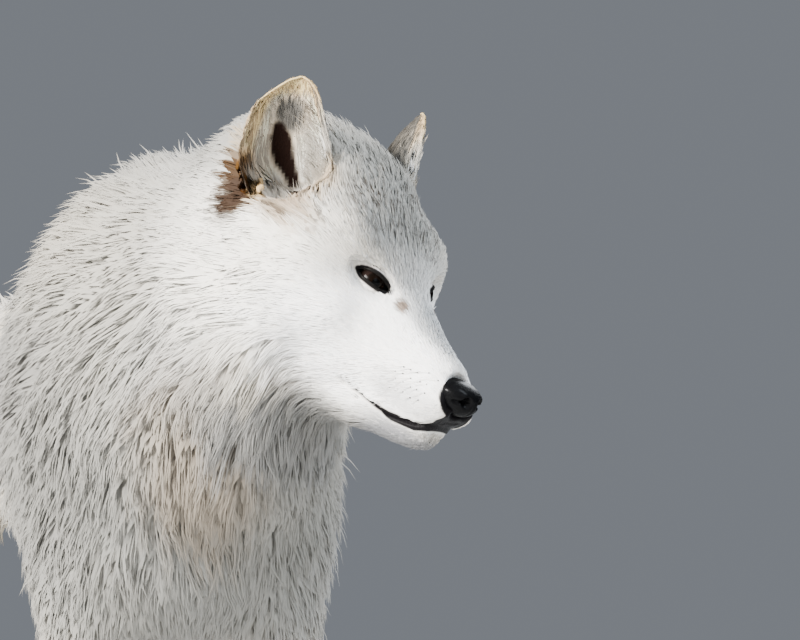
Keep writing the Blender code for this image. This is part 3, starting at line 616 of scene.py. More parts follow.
skin_mesh.vertices.foreach_set("co", skin_points.ravel())
skin_mesh.attributes.new("bare", "FLOAT", "POINT").data.foreach_set("value", bare.astype(np.float32))
# the ear's marks: its hollow, painted near black as shade, its greying, and its faces, the outer one darkened
# as painted shade
ear_marks_and_shade = np.stack([hollow, greying, ear_face], 1)
skin_mesh.attributes.new("ear_marks_and_shade", "FLOAT_VECTOR", "POINT").data.foreach_set(
    "vector", ear_marks_and_shade.astype(np.float32).ravel(),
)
skin_mesh.shade_smooth()
skin_mesh.update()
skin = stood("skin", skin_mesh)

# where the coat is deep the skin is hidden, and it has far fewer faces there than on the face, ears and feet
SKIN_FACES = 185000
hidden = skin.vertex_groups.new(name="hidden")
hidden.add(np.flatnonzero((depth > 0.004) & ~is_ear).tolist(), 1.0, "REPLACE")
thinned = skin.modifiers.new("thinned", "DECIMATE")
thinned.ratio = SKIN_FACES / len(triangles)
thinned.vertex_group = "hidden"
skin_mesh = bpy.data.meshes.new_from_object(skin.evaluated_get(bpy.context.evaluated_depsgraph_get()))
skin.modifiers.clear()
skin.data = skin_mesh
skin.vertex_groups.clear()


def group_of(name, places, colour):
    """An empty shader group that takes places and gives a colour."""
    group = bpy.data.node_groups.new(name, "ShaderNodeTree")
    for label in places:
        group.interface.new_socket(label, in_out="INPUT", socket_type="NodeSocketVector")
    group.interface.new_socket(colour, in_out="OUTPUT", socket_type="NodeSocketColor")
    return group, group.nodes.new("NodeGroupInput"), group.nodes.new("NodeGroupOutput")


def node(tree, kind, values=None, **settings):
    """A shader node with its settings, and its inputs set or linked."""
    made = tree.nodes.new(kind)
    for key, value in settings.items():
        setattr(made, key, value)
    for key, value in (values or {}).items():
        if isinstance(value, bpy.types.NodeSocket):
            tree.links.new(value, made.inputs[key])
        else:
            made.inputs[key].default_value = value
    return made


def mixed(tree, share, first, second, mode="MIX"):
    """A colour mix, and the colour that comes out of it."""
    made = node(tree, "ShaderNodeMix", data_type="RGBA", blend_type=mode)
    for slot, value in ((0, share), (6, first), (7, second)):
        if isinstance(value, bpy.types.NodeSocket):
            tree.links.new(value, made.inputs[slot])
        else:
            made.inputs[slot].default_value = value
    return made.outputs[2]


def sums(tree, operation, first, second=0.0, third=0.0, clamp=False):
    made = node(tree, "ShaderNodeMath", {0: first, 1: second, 2: third}, operation=operation, use_clamp=clamp)
    return made.outputs[0]


def vectors(tree, operation, first, second=(0, 0, 0), output=0):
    return node(tree, "ShaderNodeVectorMath", {0: first, 1: tuple(second)}, operation=operation).outputs[output]


def ramp(tree, value, start, end, low=0.0, high=1.0, **settings):
    """A value that runs from low to high as another runs from start to end."""
    ends = {"Value": value, "From Min": start, "From Max": end, "To Min": low, "To Max": high}
    return node(tree, "ShaderNodeMapRange", ends, **settings).outputs[0]


def noise(tree, place, scale, detail):
    return node(tree, "ShaderNodeTexNoise", {"Vector": place, "Scale": scale, "Detail": detail}).outputs["Fac"]


def grey_of(tree, value):
    return node(tree, "ShaderNodeCombineColor", {0: value, 1: value, 2: value}).outputs[0]


def bumped(tree, shader, height, strength, distance, invert=False):
    """Works a height into the shader's normal."""
    ends = {"Height": height, "Strength": strength, "Distance": distance}
    bump = node(tree, "ShaderNodeBump", ends, invert=invert)
    tree.links.new(bump.outputs[0], shader.inputs["Normal"])


def patch(tree, place, centre, radii, soft=0.5):
    """A soft-edged mask round a centre, as wide as the radii."""
    away = vectors(tree, "SUBTRACT", place, centre)
    scaled = vectors(tree, "MULTIPLY", away, [1 / r for r in radii])
    length = vectors(tree, "LENGTH", scaled, output="Value")
    return ramp(tree, length, 1 - soft, 1 + soft, 1.0, 0.0, interpolation_type="SMOOTHSTEP")


def mirrored_in_head(tree, place):
    """A world place in the head's frame, its two sides made alike."""
    local = node(
        tree, "ShaderNodeVectorRotate",
        {"Vector": vectors(tree, "SUBTRACT", place, NOSE_TIP), "Rotation": tuple(head.to_euler("XYZ"))},
        rotation_type="EULER_XYZ", invert=True,
    ).outputs[0]
    x, y, z = node(tree, "ShaderNodeSeparateXYZ", {0: local}).outputs
    return node(tree, "ShaderNodeCombineXYZ", {0: sums(tree, "ABSOLUTE", x), 1: y, 2: z}).outputs[0]


def painted(tree, colour, tint, mask, strength):
    """A colour with a tint laid over it where the mask says; a strength below 0 takes the mask's other side."""
    return mixed(tree, sums(tree, "MULTIPLY", mask, strength, clamp=True), colour, tint)


# The coat's colours, its marks and the shade painted into them, are the same for the skin and for the hair on
# it: they are looked up at the hair's root.
marks_and_shade, given, result = group_of("marks_and_shade", ("Place", "Ear"), "Color")
place = given.outputs["Place"]
creamy = ramp(marks_and_shade, noise(marks_and_shade, place, 9.0, 4.0), 0.38, 0.66)
colour = mixed(marks_and_shade, creamy, (0.50, 0.48, 0.45, 1), (0.43, 0.38, 0.30, 1))
# colour, strength, centre and radii on the straight body
BODY_PATCHES = (
    ((0.25, 0.245, 0.23, 1), 0.90, (-0.060, -0.350, 0.770), (0.200, 0.190, 0.120)), # white neck darkened: painted shade
    ((0.19, 0.188, 0.175, 1), 0.92, (-0.020, -0.370, 0.545), (0.200, 0.190, 0.175)), # chest darker still: painted shade
    ((0.16, 0.155, 0.145, 1), 0.60, (-0.100, -0.300, 0.630), (0.070, 0.140, 0.110)), # shoulder darker: painted shade
    ((0.22, 0.170, 0.120, 1), 0.60, (0.018, -0.478, 0.605), (0.045, 0.080, 0.070)),  # tan throat, darkened as painted shade under the head
    ((0.33, 0.305, 0.255, 1), 0.45, (-0.069, -0.420, 0.780), (0.080, 0.110, 0.060)), # cream mane
    ((0.50, 0.43, 0.33, 1), 0.60, (0.022, 0.110, 0.765), (0.110, 0.380, 0.060)),     # cream back
    ((0.52, 0.43, 0.31, 1), 0.55, (0.012, 0.600, 0.500), (0.080, 0.070, 0.220)),     # cream tail
)
for tint, strength, centre, radii in BODY_PATCHES:
    colour = painted(marks_and_shade, colour, tint, patch(marks_and_shade, place, bent(centre), radii, 0.55), strength)
# the same in the head's frame; both sides alike
HEAD_PATCHES = (
    ((0.22, 0.215, 0.20, 1), 0.85, (0.070, 0.285, 0.095), (0.055, 0.040, 0.055)),   # grey-white behind the ear
    ((0.22, 0.215, 0.205, 1), 0.90, (0.040, 0.140, -0.095), (0.060, 0.060, 0.034)), # darker under the jaw: painted shade
    ((0.70, 0.67, 0.61, 1), 0.90, (0.070, 0.190, 0.014), (0.050, 0.080, 0.062)),    # creamy ruff
    ((0.93, 0.92, 0.91, 1), 1.00, (0.042, 0.090, -0.006), (0.070, 0.085, 0.050)),   # white face and cheeks
    ((0.36, 0.335, 0.29, 1), 0.88, (0.000, 0.190, 0.110), (0.090, 0.070, 0.045)),    # cream crown, darkened as painted shade
    ((0.28, 0.272, 0.25, 1), 0.84, (0.010, 0.152, 0.086), (0.040, 0.046, 0.027)),   # grey forehead, darkened further as painted shade
    ((0.36, 0.27, 0.175, 1), 0.85, (0.062, 0.196, 0.080), (0.026, 0.024, 0.024)),   # tan before the ear
    ((0.27, 0.20, 0.135, 1), 0.85, (0.087, 0.182, 0.062), (0.022, 0.032, 0.016)),   # tan below the ear
    ((0.30, 0.20, 0.092, 1), 0.95, (0.082, 0.234, 0.126), (0.034, 0.026, 0.074)),   # golden ear
    ((0.29, 0.185, 0.075, 1), 0.92, (0.082, 0.228, 0.062), (0.014, 0.018, 0.018)),  # gold at the ear's foot
    ((0.040, 0.019, 0.005, 1), 1.00, (0.0870, 0.2440, 0.0660), (0.024, 0.013, 0.016)),  # rusty patch behind it
    ((0.020, 0.0078, 0.0014, 1), 1.00, (0.0890, 0.2320, 0.0500), (0.024, 0.016, 0.021)),
    ((0.29, 0.20, 0.10, 1), 0.95, (0.076, 0.2190, 0.072), (0.010, 0.0120, 0.020)),  # gold within its foot
    ((0.06, 0.042, 0.026, 1), 0.85, (0.0885, 0.1890, 0.0570), (0.016, 0.024, 0.0030)),  # cleft at its foot: painted shade
    ((0.40, 0.40, 0.395, 1), 0.80, (0.004, 0.062, 0.028), (0.014, 0.052, 0.012)),   # bridge's top darker: painted shade
    ((0.36, 0.36, 0.37, 1), 0.55, (0.028, 0.044, -0.026), (0.014, 0.032, 0.014)),   # darker by the lip: painted shade
    ((0.110, 0.114, 0.125, 1), 0.90, (0.000, 0.046, -0.060), (0.034, 0.046, 0.021)),  # chin darkened: painted shade under the muzzle
    ((0.16, 0.158, 0.15, 1), 0.85, (0.028, 0.115, -0.078), (0.044, 0.034, 0.024)),  # and under the jaw: painted shade
    ((0.085, 0.050, 0.028, 1), 0.92, (0.0205, 0.0905, 0.0342), (0.006, 0.0075, 0.006)),  # spot before the eye
)
mirrored = mirrored_in_head(marks_and_shade, place)
for tint, strength, centre, radii in HEAD_PATCHES:
    colour = painted(marks_and_shade, colour, tint, patch(marks_and_shade, mirrored, centre, radii, 0.4), strength)
in_a_hollow, greyed, face = node(marks_and_shade, "ShaderNodeSeparateXYZ", {0: given.outputs["Ear"]}).outputs
colour = painted(marks_and_shade, colour, (0.30, 0.275, 0.235, 1), face, 0.75)          # within the ear
colour = painted(marks_and_shade, colour, (0.042, 0.041, 0.038, 1), face, -0.96)        # the back of the ear: grey, and darker still as painted shade
colour = painted(marks_and_shade, colour, (0.032, 0.032, 0.031, 1), greyed, 0.94)       # greying high in the ear
colour = painted(marks_and_shade, colour, (0.0045, 0.0020, 0.0014, 1), in_a_hollow, 1)  # painted shade: its hollow near black
shading = grey_of(marks_and_shade, ramp(marks_and_shade, noise(marks_and_shade, place, 70.0, 3.0), 0.0, 1.0, 0.94, 1.05))
colour = mixed(marks_and_shade, 1.0, colour, shading, "MULTIPLY")
marks_and_shade.links.new(colour, result.inputs["Color"])


def marked_and_shaded(tree, place):
    """The coat's colour for a place on the skin, or for the hair that is rooted there."""
    ear = node(tree, "ShaderNodeAttribute", attribute_name="ear_marks_and_shade").outputs["Vector"]
    return node(tree, "ShaderNodeGroup", {"Place": place, "Ear": ear}, node_tree=marks_and_shade).outputs["Color"]


def fresh_material(name, roughness, **constants):
    """A material and its shader, with the values that are the same all over set on the shader itself."""
    made = bpy.data.materials.new(name)
    made.use_nodes = True
    shader = made.node_tree.nodes["Principled BSDF"]
    shader.inputs["Roughness"].default_value = roughness
    for label, value in constants.items():
        shader.inputs[label.replace("_", " ")].default_value = value
    return made, made.node_tree, shader


skin_finish, tree, shader = fresh_material("skin_finish", 0.75, Specular_IOR_Level=0.05)
place = node(tree, "ShaderNodeTexCoord").outputs["Object"]
colour = marked_and_shaded(tree, place)
bare_share = node(tree, "ShaderNodeAttribute", attribute_name="bare").outputs["Fac"]
shade = mixed(tree, 1.0, colour, (0.93, 0.90, 0.87, 1), "MULTIPLY")
# where the coat's colour is dark, as under its painted shade, the skin under the hair is made paler, up to 1.75
# times: painted light that lifts the shade between the tufts
gap_lift = mixed(tree, 1.0, colour, (1.75, 1.72, 1.68, 1), "MULTIPLY")
shade = mixed(tree, 1.0, shade, mixed(tree, 1.0, gap_lift, (0.48, 0.47, 0.45, 1), "DARKEN"), "LIGHTEN")
tree.links.new(mixed(tree, bare_share, shade, (0.0035, 0.003, 0.0035, 1)), shader.inputs["Base Color"])
tree.links.new(sums(tree, "MULTIPLY_ADD", bare_share, -0.35, 0.85), shader.inputs["Roughness"])
combed = vectors(tree, "MULTIPLY", place, (1.0, 0.8, 0.22))
bumped(tree, shader, noise(tree, combed, 800.0, 3.0), 0.6, 0.0010)
skin_mesh.materials.append(skin_finish)
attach(skin, "root")
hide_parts(*FLESH, "ear_left", "ear_right")

# ------------------------------------------------------------------ eyes
# Glossy, very dark brown eyeballs with a round pupil and a clear, bulging front, as a museum's glass eyes are.
# Each is set into its socket, in a rim of bare black skin.


def settled(name, mesh):
    """A piece of the wolf from its mesh."""
    made = stood(name, mesh)
    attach(made, "root")
    return made


def placed(name, bm, finish):
    """A finished, smooth piece from its bmesh."""
    bm.normal_update()
    mesh = bpy.data.meshes.new(name)
    bm.to_mesh(mesh)
    bm.free()
    mesh.shade_smooth()
    mesh.materials.append(finish)
    return settled(name, mesh)


def tube(bm, path, radii, sides=8, closed=False, flat=1.0, ahead=None):
    """A tube along the path, with a radius for each of its points."""
    path = [Vector(p) for p in path]
    loops = []
    for i, point in enumerate(path):
        before = path[i - 1] if closed or i else path[0]
        after = path[(i + 1) % len(path)] if closed or i + 1 < len(path) else path[-1]
        along = (after - before).normalized()
        guide = Vector(ahead) if ahead is not None else Vector((0.31, 0.17, 0.93))
        across = along.cross(guide).normalized()
        up = across.cross(along)
        ring = []
        for k in range(sides):
            turn = 2 * math.pi * k / sides
            ring.append(bm.verts.new(
                point + across * (math.cos(turn) * radii[i]) + up * (math.sin(turn) * radii[i] * flat)
            ))
        loops.append([bm.edges.new((ring[k], ring[(k + 1) % sides])) for k in range(sides)])
    faces = []
    pairs = list(zip(loops, loops[1:])) + ([(loops[-1], loops[0])] if closed else [])
    for first, second in pairs:
        faces += bmesh.ops.bridge_loops(bm, edges=first + second)["faces"]
    if not closed:
        for end in (loops[0], loops[-1]):
            faces += bmesh.ops.edgeloop_fill(bm, edges=end)["faces"]
    bmesh.ops.recalc_face_normals(bm, faces=faces)


for name, side in SIDES:
    centre, ahead, along, over = eyes[name]
    gaze = unit(HEAD_TURN @ np.array((side * 0.50, -0.85, 0.10)))
    bm = bmesh.new()
    bmesh.ops.create_uvsphere(bm, u_segments=64, v_segments=48, radius=EYE_RADIUS)
    turned = Vector((0, 0, 1)).rotation_difference(Vector(gaze)).to_matrix().to_4x4()
    for v in bm.verts:
        ring = math.hypot(v.co.x, v.co.y)
        if v.co.z > 0 and ring < 0.0078:
            v.co *= 1 + 0.085 * (1 - (ring / 0.0078) ** 2) ** 1.5
    bm.transform(Matrix.Translation(Vector(centre)) @ turned)
    eye_finish, tree, shader = fresh_material(
        f"eye_{name}_finish", 0.20,
        Coat_Weight=0.06, Coat_Roughness=0.10, Coat_IOR=1.30, Specular_IOR_Level=0.03,
    )
    offset = vectors(tree, "SUBTRACT", node(tree, "ShaderNodeTexCoord").outputs["Object"], centre)
    depth_in = vectors(tree, "DOT_PRODUCT", offset, gaze, output="Value")
    length = vectors(tree, "LENGTH", offset, output="Value")
    aside = sums(tree, "SQRT", sums(
        tree, "SUBTRACT", sums(tree, "POWER", length, 2.0), sums(tree, "POWER", depth_in, 2.0),
    ))
    streaks = noise(tree, offset, 900.0, 3.0)
    iris = mixed(tree, streaks, (0.0016, 0.0009, 0.0006, 1), (0.0048, 0.0026, 0.0016, 1))
    # the iris's dark edge, the pupil, and the ball round them
    tone = mixed(tree, ramp(tree, aside, 0.0052, 0.0066), iris, (0.003, 0.002, 0.0015, 1))
    tone = mixed(tree, ramp(tree, aside, 0.0031, 0.0036), (0.0008, 0.0008, 0.0008, 1), tone)
    tone = mixed(tree, ramp(tree, aside, 0.0070, 0.0080), tone, (0.010, 0.006, 0.005, 1))
    tree.links.new(tone, shader.inputs["Base Color"])
    eye = placed(f"eyeball_{name}", bm, eye_finish)
    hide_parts(f"eye_{name}")

rim_finish, tree, shader = fresh_material("rim_finish", 0.50, Specular_IOR_Level=0.04)
cells = noise(tree, node(tree, "ShaderNodeTexCoord").outputs["Object"], 700.0, 2.0)
blacks = mixed(tree, cells, (0.0025, 0.002, 0.002, 1), (0.008, 0.007, 0.006, 1))
tree.links.new(blacks, shader.inputs["Base Color"])
bumped(tree, shader, cells, 0.4, 0.0004)
for name, (centre, ahead, along, over) in eyes.items():
    path, radii = [], []
    for step in range(56):
        turn = 2 * math.pi * step / 56
        u = -EYE_LONG * math.cos(turn)
        bow = max(0.0, 1 - (u / EYE_LONG) ** 2) ** (0.50 + 0.30 * float(smoothly(u, -0.016, 0.016)))
        v = (LID_ABOVE if math.sin(turn) > 0 else -LID_BELOW) * bow
        ring = min(math.hypot(u, v), 0.0102)
        w = math.sqrt((EYE_RADIUS + 0.0009) ** 2 - ring ** 2) - 0.10 * max(0.0, abs(u) - 0.0102)
        path.append(centre + along * u + over * v + ahead * w)
        radii.append(0.0011 - 0.0004 * (abs(u) / EYE_LONG) ** 2 + (0.0003 if v > 0 else 0.0))
    bm = bmesh.new()
    tube(bm, path, radii, sides=10, closed=True, ahead=ahead)
    placed(f"eye_rim_{name}", bm, rim_finish)

# ------------------------------------------------------------------ nose
# The bare black nose: a pebbled, moist pad with two comma nostrils and the groove that parts the upper lip.
# It is cast in one piece and seated on the end of the muzzle.

bm = bmesh.new()
bmesh.ops.create_uvsphere(bm, u_segments=128, v_segments=96, radius=1.0)
nose_points = np.array([v.co for v in bm.verts])
x, y, z = nose_points.T
wide = 1.0 + 0.10 * smoothly(z, -0.6, 0.5) - 0.30 * smoothly(z, -0.35, -1.0)
shape = np.stack([
    0.0184 * np.sign(x) * np.abs(x) ** 0.86 * wide,
    0.0205 * y,
    np.where(z > 0, 0.0116, 0.0158) * np.sign(z) * np.abs(z) ** 0.90,
], 1)
shape[:, 1] = np.where(y < 0, shape[:, 1] * (1.0 - 0.16 * np.abs(x)), shape[:, 1])
front = smoothly(-y, 0.05, 0.35)
for side in (-1, 1):
    hx, hz = shape[:, 0] * side, shape[:, 2]
    round_hole = np.exp(-(((hx - 0.0074) / 0.0030) ** 2 + ((hz - 0.0006) / 0.0034) ** 2) ** 1.3)
    slit_line = 0.0006 - 0.0026 * smoothly(hx, 0.0080, 0.0150)
    slit = np.exp(-((hz - slit_line) / 0.0013) ** 2)
    slit = slit * smoothly(hx, 0.0076, 0.0092) * smoothly(hx, 0.0175, 0.0140)
    wing = np.exp(-(((hx - 0.0105) / 0.0036) ** 2 + ((hz - 0.0062) / 0.0030) ** 2))
    shape[:, 1] += front * (0.0080 * round_hole + 0.0034 * slit - 0.0012 * wing)
groove = np.exp(-(shape[:, 0] / 0.0009) ** 2) * smoothly(shape[:, 2], 0.0075, 0.0010)
shape[:, 1] += 0.0015 * groove * front
for v, co in zip(bm.verts, shape):
    v.co = co
lower = bmesh.ops.create_uvsphere(bm, u_segments=48, v_segments=32, radius=1.0)["verts"]
for v in lower:
    x, y, z = v.co
    v.co = (0.0050 * x * (1 - 0.25 * z), 0.0070 * y + 0.0010, 0.0095 * z - 0.0140)
    v.co.y += 0.0016 * math.exp(-(v.co.x / 0.0008) ** 2) * (1 if y < 0 else 0) + 0.25 * (-0.0140 - v.co.z)
bm.transform(head @ Matrix.Translation((0, 0.0226, -0.0052)))
nose_finish, tree, shader = fresh_material(
    "nose_finish", 0.40, Specular_IOR_Level=0.02, Coat_Weight=0.04, Coat_Roughness=0.14,
)
place = node(tree, "ShaderNodeTexCoord").outputs["Object"]
pebbles = node(tree, "ShaderNodeTexVoronoi", {"Vector": place, "Scale": 1050.0}, feature="SMOOTH_F1")
pebbles = pebbles.outputs["Distance"]
blacks = mixed(tree, pebbles, (0.0030, 0.0030, 0.0034, 1), (0.0008, 0.0008, 0.0009, 1))
tree.links.new(blacks, shader.inputs["Base Color"])
tree.links.new(sums(tree, "MULTIPLY_ADD", pebbles, 0.25, 0.36), shader.inputs["Roughness"])
bumped(tree, shader, pebbles, 0.45, 0.0006, invert=True)
nose = placed("nose_pad", bm, nose_finish)
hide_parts("nose")

# ------------------------------------------------------------------ claws and pads
# Blunt, dark horn claws, one to a toe, and the leathery black pads that the wolf stands on, four under the toes
# and a larger one behind them. They are cast, and the pads are cut flat where they rest on the floor.

claw_finish, tree, shader = fresh_material("claw_finish", 0.35, Specular_IOR_Level=0.5)
bands = noise(tree, node(tree, "ShaderNodeTexCoord").outputs["Object"], 260.0, 3.0)
horn = mixed(tree, bands, (0.020, 0.016, 0.013, 1), (0.10, 0.080, 0.060, 1))
tree.links.new(horn, shader.inputs["Base Color"])
pad_finish, tree, shader = fresh_material("pad_finish", 0.7, Specular_IOR_Level=0.35)
place = node(tree, "ShaderNodeTexCoord").outputs["Object"]
cracks = node(tree, "ShaderNodeTexVoronoi", {"Vector": place, "Scale": 420.0}).outputs["Distance"]
leather = mixed(tree, cracks, (0.035, 0.030, 0.028, 1), (0.012, 0.010, 0.010, 1))
tree.links.new(leather, shader.inputs["Base Color"])
bumped(tree, shader, cracks, 0.5, 0.0008, invert=True)


def pad(bm, segments, rings, place, sizes):
    """An oval pad with its middle at the place."""
    made = bmesh.ops.create_uvsphere(bm, u_segments=segments, v_segments=rings, radius=1.0)["verts"]
    bmesh.ops.transform(bm, verts=made, matrix=place @ Matrix.Diagonal((*sizes, 1)))


for title, (x, y, length, width) in paws.items():
    claws, pads = bmesh.new(), bmesh.new()
    for across, back in zip((-0.37, -0.13, 0.13, 0.37), (0.19, 0.04, 0.04, 0.19)):
        turn = Matrix.Rotation(-across * 0.5, 4, "Z")
        toe = Vector((x + across * width, y + back * length, 0.0))
        path, radii = [], []
        for k in range(9):
            share = k / 8
            bend = 0.25 + share * 1.15
            reach = Vector((0, 0.010 - 0.022 * math.sin(bend), 0.0040 + 0.0120 * math.cos(bend)))
            path.append(toe + turn @ reach)
            radii.append(0.0038 * (1 - share) ** 0.55 + 0.0003)
        tube(claws, path, radii, sides=10, ahead=(0, 0.2, 1))
        under = Matrix.Translation(toe + Vector((0, 0.016, 0.0062))) @ turn
        pad(pads, 24, 16, under, (0.0085, 0.0125, 0.0075))
    pad(pads, 32, 20, Matrix.Translation((x, y + length * 0.58, 0.0068)), (0.0235, 0.0190, 0.0085))
    bmesh.ops.bisect_plane(
        pads, geom=pads.verts[:] + pads.edges[:] + pads.faces[:],
        plane_co=(0, 0, 0), plane_no=(0, 0, -1), clear_outer=True,
    )
    bmesh.ops.edgeloop_fill(pads, edges=[e for e in pads.edges if e.is_boundary])
    for v in claws.verts[:] + pads.verts[:]:
        v.co = bent(v.co)
    placed(f"claws_{title}", claws, claw_finish)
    placed(f"pads_{title}", pads, pad_finish)

# ------------------------------------------------------------------ coat
# The hair itself, as thin solid tufts set into the skin by their roots: a woolly undercoat, and over it guard
# hairs that lean together into locks and overlap like shingles. They are millimetres long on the muzzle, and as
# long as a hand on the mane and tail.

coat_tree = BVHTree.FromPolygons([tuple(p) for p in coat_points], [tuple(t) for t in triangles])
coat_normals = point_normals(coat_points, triangles)
corner_a, corner_b, corner_c = (coat_points[triangles[:, k]] for k in range(3))
areas = np.linalg.norm(np.cross(corner_b - corner_a, corner_c - corner_a), axis=1) / 2
centres = (corner_a + corner_b + corner_c) / 3
centres_local = to_head(centres)

# where no hair grows: the bare skin, the soles, the hollows of the ears and what lies behind their shells
triangle_is_ear = is_ear[triangles[:, 0]]
facing_down = coat_normals[triangles].mean(1)[:, 2] < -0.6
no_hair = (bare[triangles].max(1) > 0.45) | ((centres[:, 2] < 0.012) & facing_down)
no_hair |= hollow[triangles].mean(1) > 0.25
ear_up = HEAD_TURN @ np.array((0.0, 0.16, 0.985))
in_the_ear = triangle_is_ear & (inside[triangles].mean(1) > 0.5)
for where, below, wider in (
    # hair rooted just below a hollow would lie across it
    (in_the_ear, 0.004, -0.001), (in_the_ear, 0.008, -0.002),
    (~triangle_is_ear, 0.005, 0.001), (~triangle_is_ear, 0.010, 0.001),
):
    no_hair |= where & (in_hollow(centres + ear_up * below, wider) > 0.5)
no_hair |= tucked[triangles].max(1) > 0.0040
for centre, ahead, along, over in eyes.values():
    u, v, w, outside = eye_opening(centres, centre, ahead, along, over)
    no_hair |= (outside < 0.0014) & (w > -0.002) & (w < 0.025) & (np.abs(u) < 0.02)

region = np.full(len(triangles), "trunk", object)
back_at, height_at = straight(centres)[:, 1], centres[:, 2]
region[(height_at < 0.43) & (back_at < 0.01)] = "forelegs"
region[(height_at < 0.50) & (back_at > 0.13) & (back_at < 0.49)] = "hindlegs"
region[back_at > 0.485] = "tail"
region[(back_at < -0.18) & (height_at >= 0.43)] = "mane"
back_of_head = (centres_local[:, 1] < 0.235) & (centres_local[:, 2] > -0.13) & (centres[:, 2] > 0.55)
back_of_head &= centres_local[:, 1] + 0.55 * centres_local[:, 2] < 0.265
region[back_of_head] = "cheeks"
region[back_of_head & (centres_local[:, 1] < 0.150)] = "face"
region[triangle_is_ear] = "ears"

STEPS = 4   # of the line of a tuft


def nearest_on_coat(points):
    places_found, normals_found = np.empty_like(points), np.empty_like(points)
    for i, p in enumerate(points):
        place, normal, _, _ = coat_tree.find_nearest(p)
        places_found[i], normals_found[i] = place, normal
    return places_found, normals_found


def waves(points):
    """A slow, smooth wander of the hair's lie, from -1 to 1."""
    x, y, z = points.T
    slow = np.sin(41 * x + 23 * z + 1.3) * np.sin(37 * y - 29 * z)
    return (slow + np.sin(83 * y + 61 * x) * np.cos(71 * z - 47 * x)) / 2


def grown(chosen, rings, spread, thick, long, rise, gather, wild):
    """Roots and lines of the tufts of one region, leaning together in locks."""
    weight = np.where(chosen & ~no_hair, areas, 0.0)
    spacing = np.ones(len(areas))
    spacing[chosen] = coat_at(centres[chosen])[1][:, 3] * spread
    weight /= spacing ** 2
    count = int(weight.sum())
    heap = np.cumsum(weight) / weight.sum()
    pick = np.minimum(np.searchsorted(heap, (np.arange(count) + rng.random(count)) / count), len(weight) - 1)
    shares = rng.dirichlet((1, 1, 1), count)
    corners = triangles[pick]
    root = (skin_points[corners] * shares[..., None]).sum(1)
    top = (coat_points[corners] * shares[..., None]).sum(1)
    up = unit((coat_normals[corners] * shares[..., None]).sum(1))
    _, length, thickness, space, lock = coat_at(top)[1].T
    reach = np.linalg.norm(top - root, axis=1)
    length = length * long
    leads = rng.random(count) < np.clip((space * spread / lock) ** 2, 0, 1)
    leads[rng.integers(0, count)] = True
    first = np.flatnonzero(leads)
    run = np.sqrt(np.maximum(length[first] ** 2 - reach[first] ** 2, (0.5 * length[first]) ** 2))
    run = run * rng.uniform(0.75, 1.12, len(first))
    t = np.linspace(0, 1, STEPS + 1)
    path, over = [top[first]], [up[first]]
    for _ in range(STEPS):
        lie = coat_at(path[-1])[0]
        aside = unit(np.cross(over[-1], lie))
        lie = lie + aside * (0.28 * waves(path[-1]) + rng.normal(0, 0.05, len(first)))[:, None]
        lie = unit(lie - over[-1] * (lie * over[-1]).sum(1, keepdims=True))
        place, normal = nearest_on_coat(path[-1] + lie * (run / STEPS)[:, None])
        path.append(place)
        over.append(normal)
    path, over = np.stack(path, 1), np.stack(over, 1)
    depth_here = reach[first]
    depth_there = np.minimum(coat_at(path[:, -1])[1][:, 0], depth_here * 1.6)
    depth_along = depth_here[:, None] * (1 - t) + depth_there[:, None] * t
    lift = rng.uniform(*rise, len(first))[:, None] * (1 - (1 - t) ** 1.7)[None]
    guide = path - over * (depth_along * (1 - lift))[..., None]
    guide[:, 0] = root[first]
    sway = unit(np.cross(over[:, 2], path[:, -1] - path[:, 0] + 1e-9))
    guide += sway[:, None] * ((rng.normal(0, 0.09, len(first)) * run)[:, None] * (t ** 1.6)[None])[..., None]
    heads = KDTree(len(first))
    for i, p in enumerate(root[first]):
        heads.insert(p, i)
    heads.balance()
    mine = np.array([heads.find(p)[1] for p in root])
    line = (guide[mine] - guide[mine][:, :1]) * rng.uniform(0.78, 1.10, count)[:, None, None]
    lean = rng.uniform(*gather, count)
    loose = rng.random(count) < wild
    lean[loose] *= 0.3
    hub = root[first][mine] - root
    line = root[:, None] + line + hub[:, None] * (lean[:, None] * (t ** 1.25)[None])[..., None]
    stray = rng.normal(0, 1, (count, 3)) * (length * np.where(loose, 0.12, 0.030))[:, None]
    line += stray[:, None] * (t ** 1.4)[None, :, None]
    return {
        "root": root, "line": line, "up": over[mine], "thickness": thickness * thick, "rings": rings,
        "tint": 0.5 * rng.random(len(first))[mine] + 0.5 * rng.random(count), "chance": rng.random(count),
        "ear": (ear_marks_and_shade[corners] * shares[..., None]).sum(1),
    }


def around(axis_from, axis_to, points):
    """An unwrap round a line: the turn about it and the way along it, both 0 to 1."""
    start, end = np.array(axis_from), np.array(axis_to)
    along = unit(end - start)
    side = unit(np.cross(along, (0.02, 0.31, 0.95)))
    other = np.cross(along, side)
    offset = points - start
    turn = np.arctan2(offset @ side, offset @ other) / (2 * math.pi) + 0.5
    return np.stack([turn, offset @ along], 1)


PATCH_SIDE = 0.003   # of a tuft's own patch on the coat's map


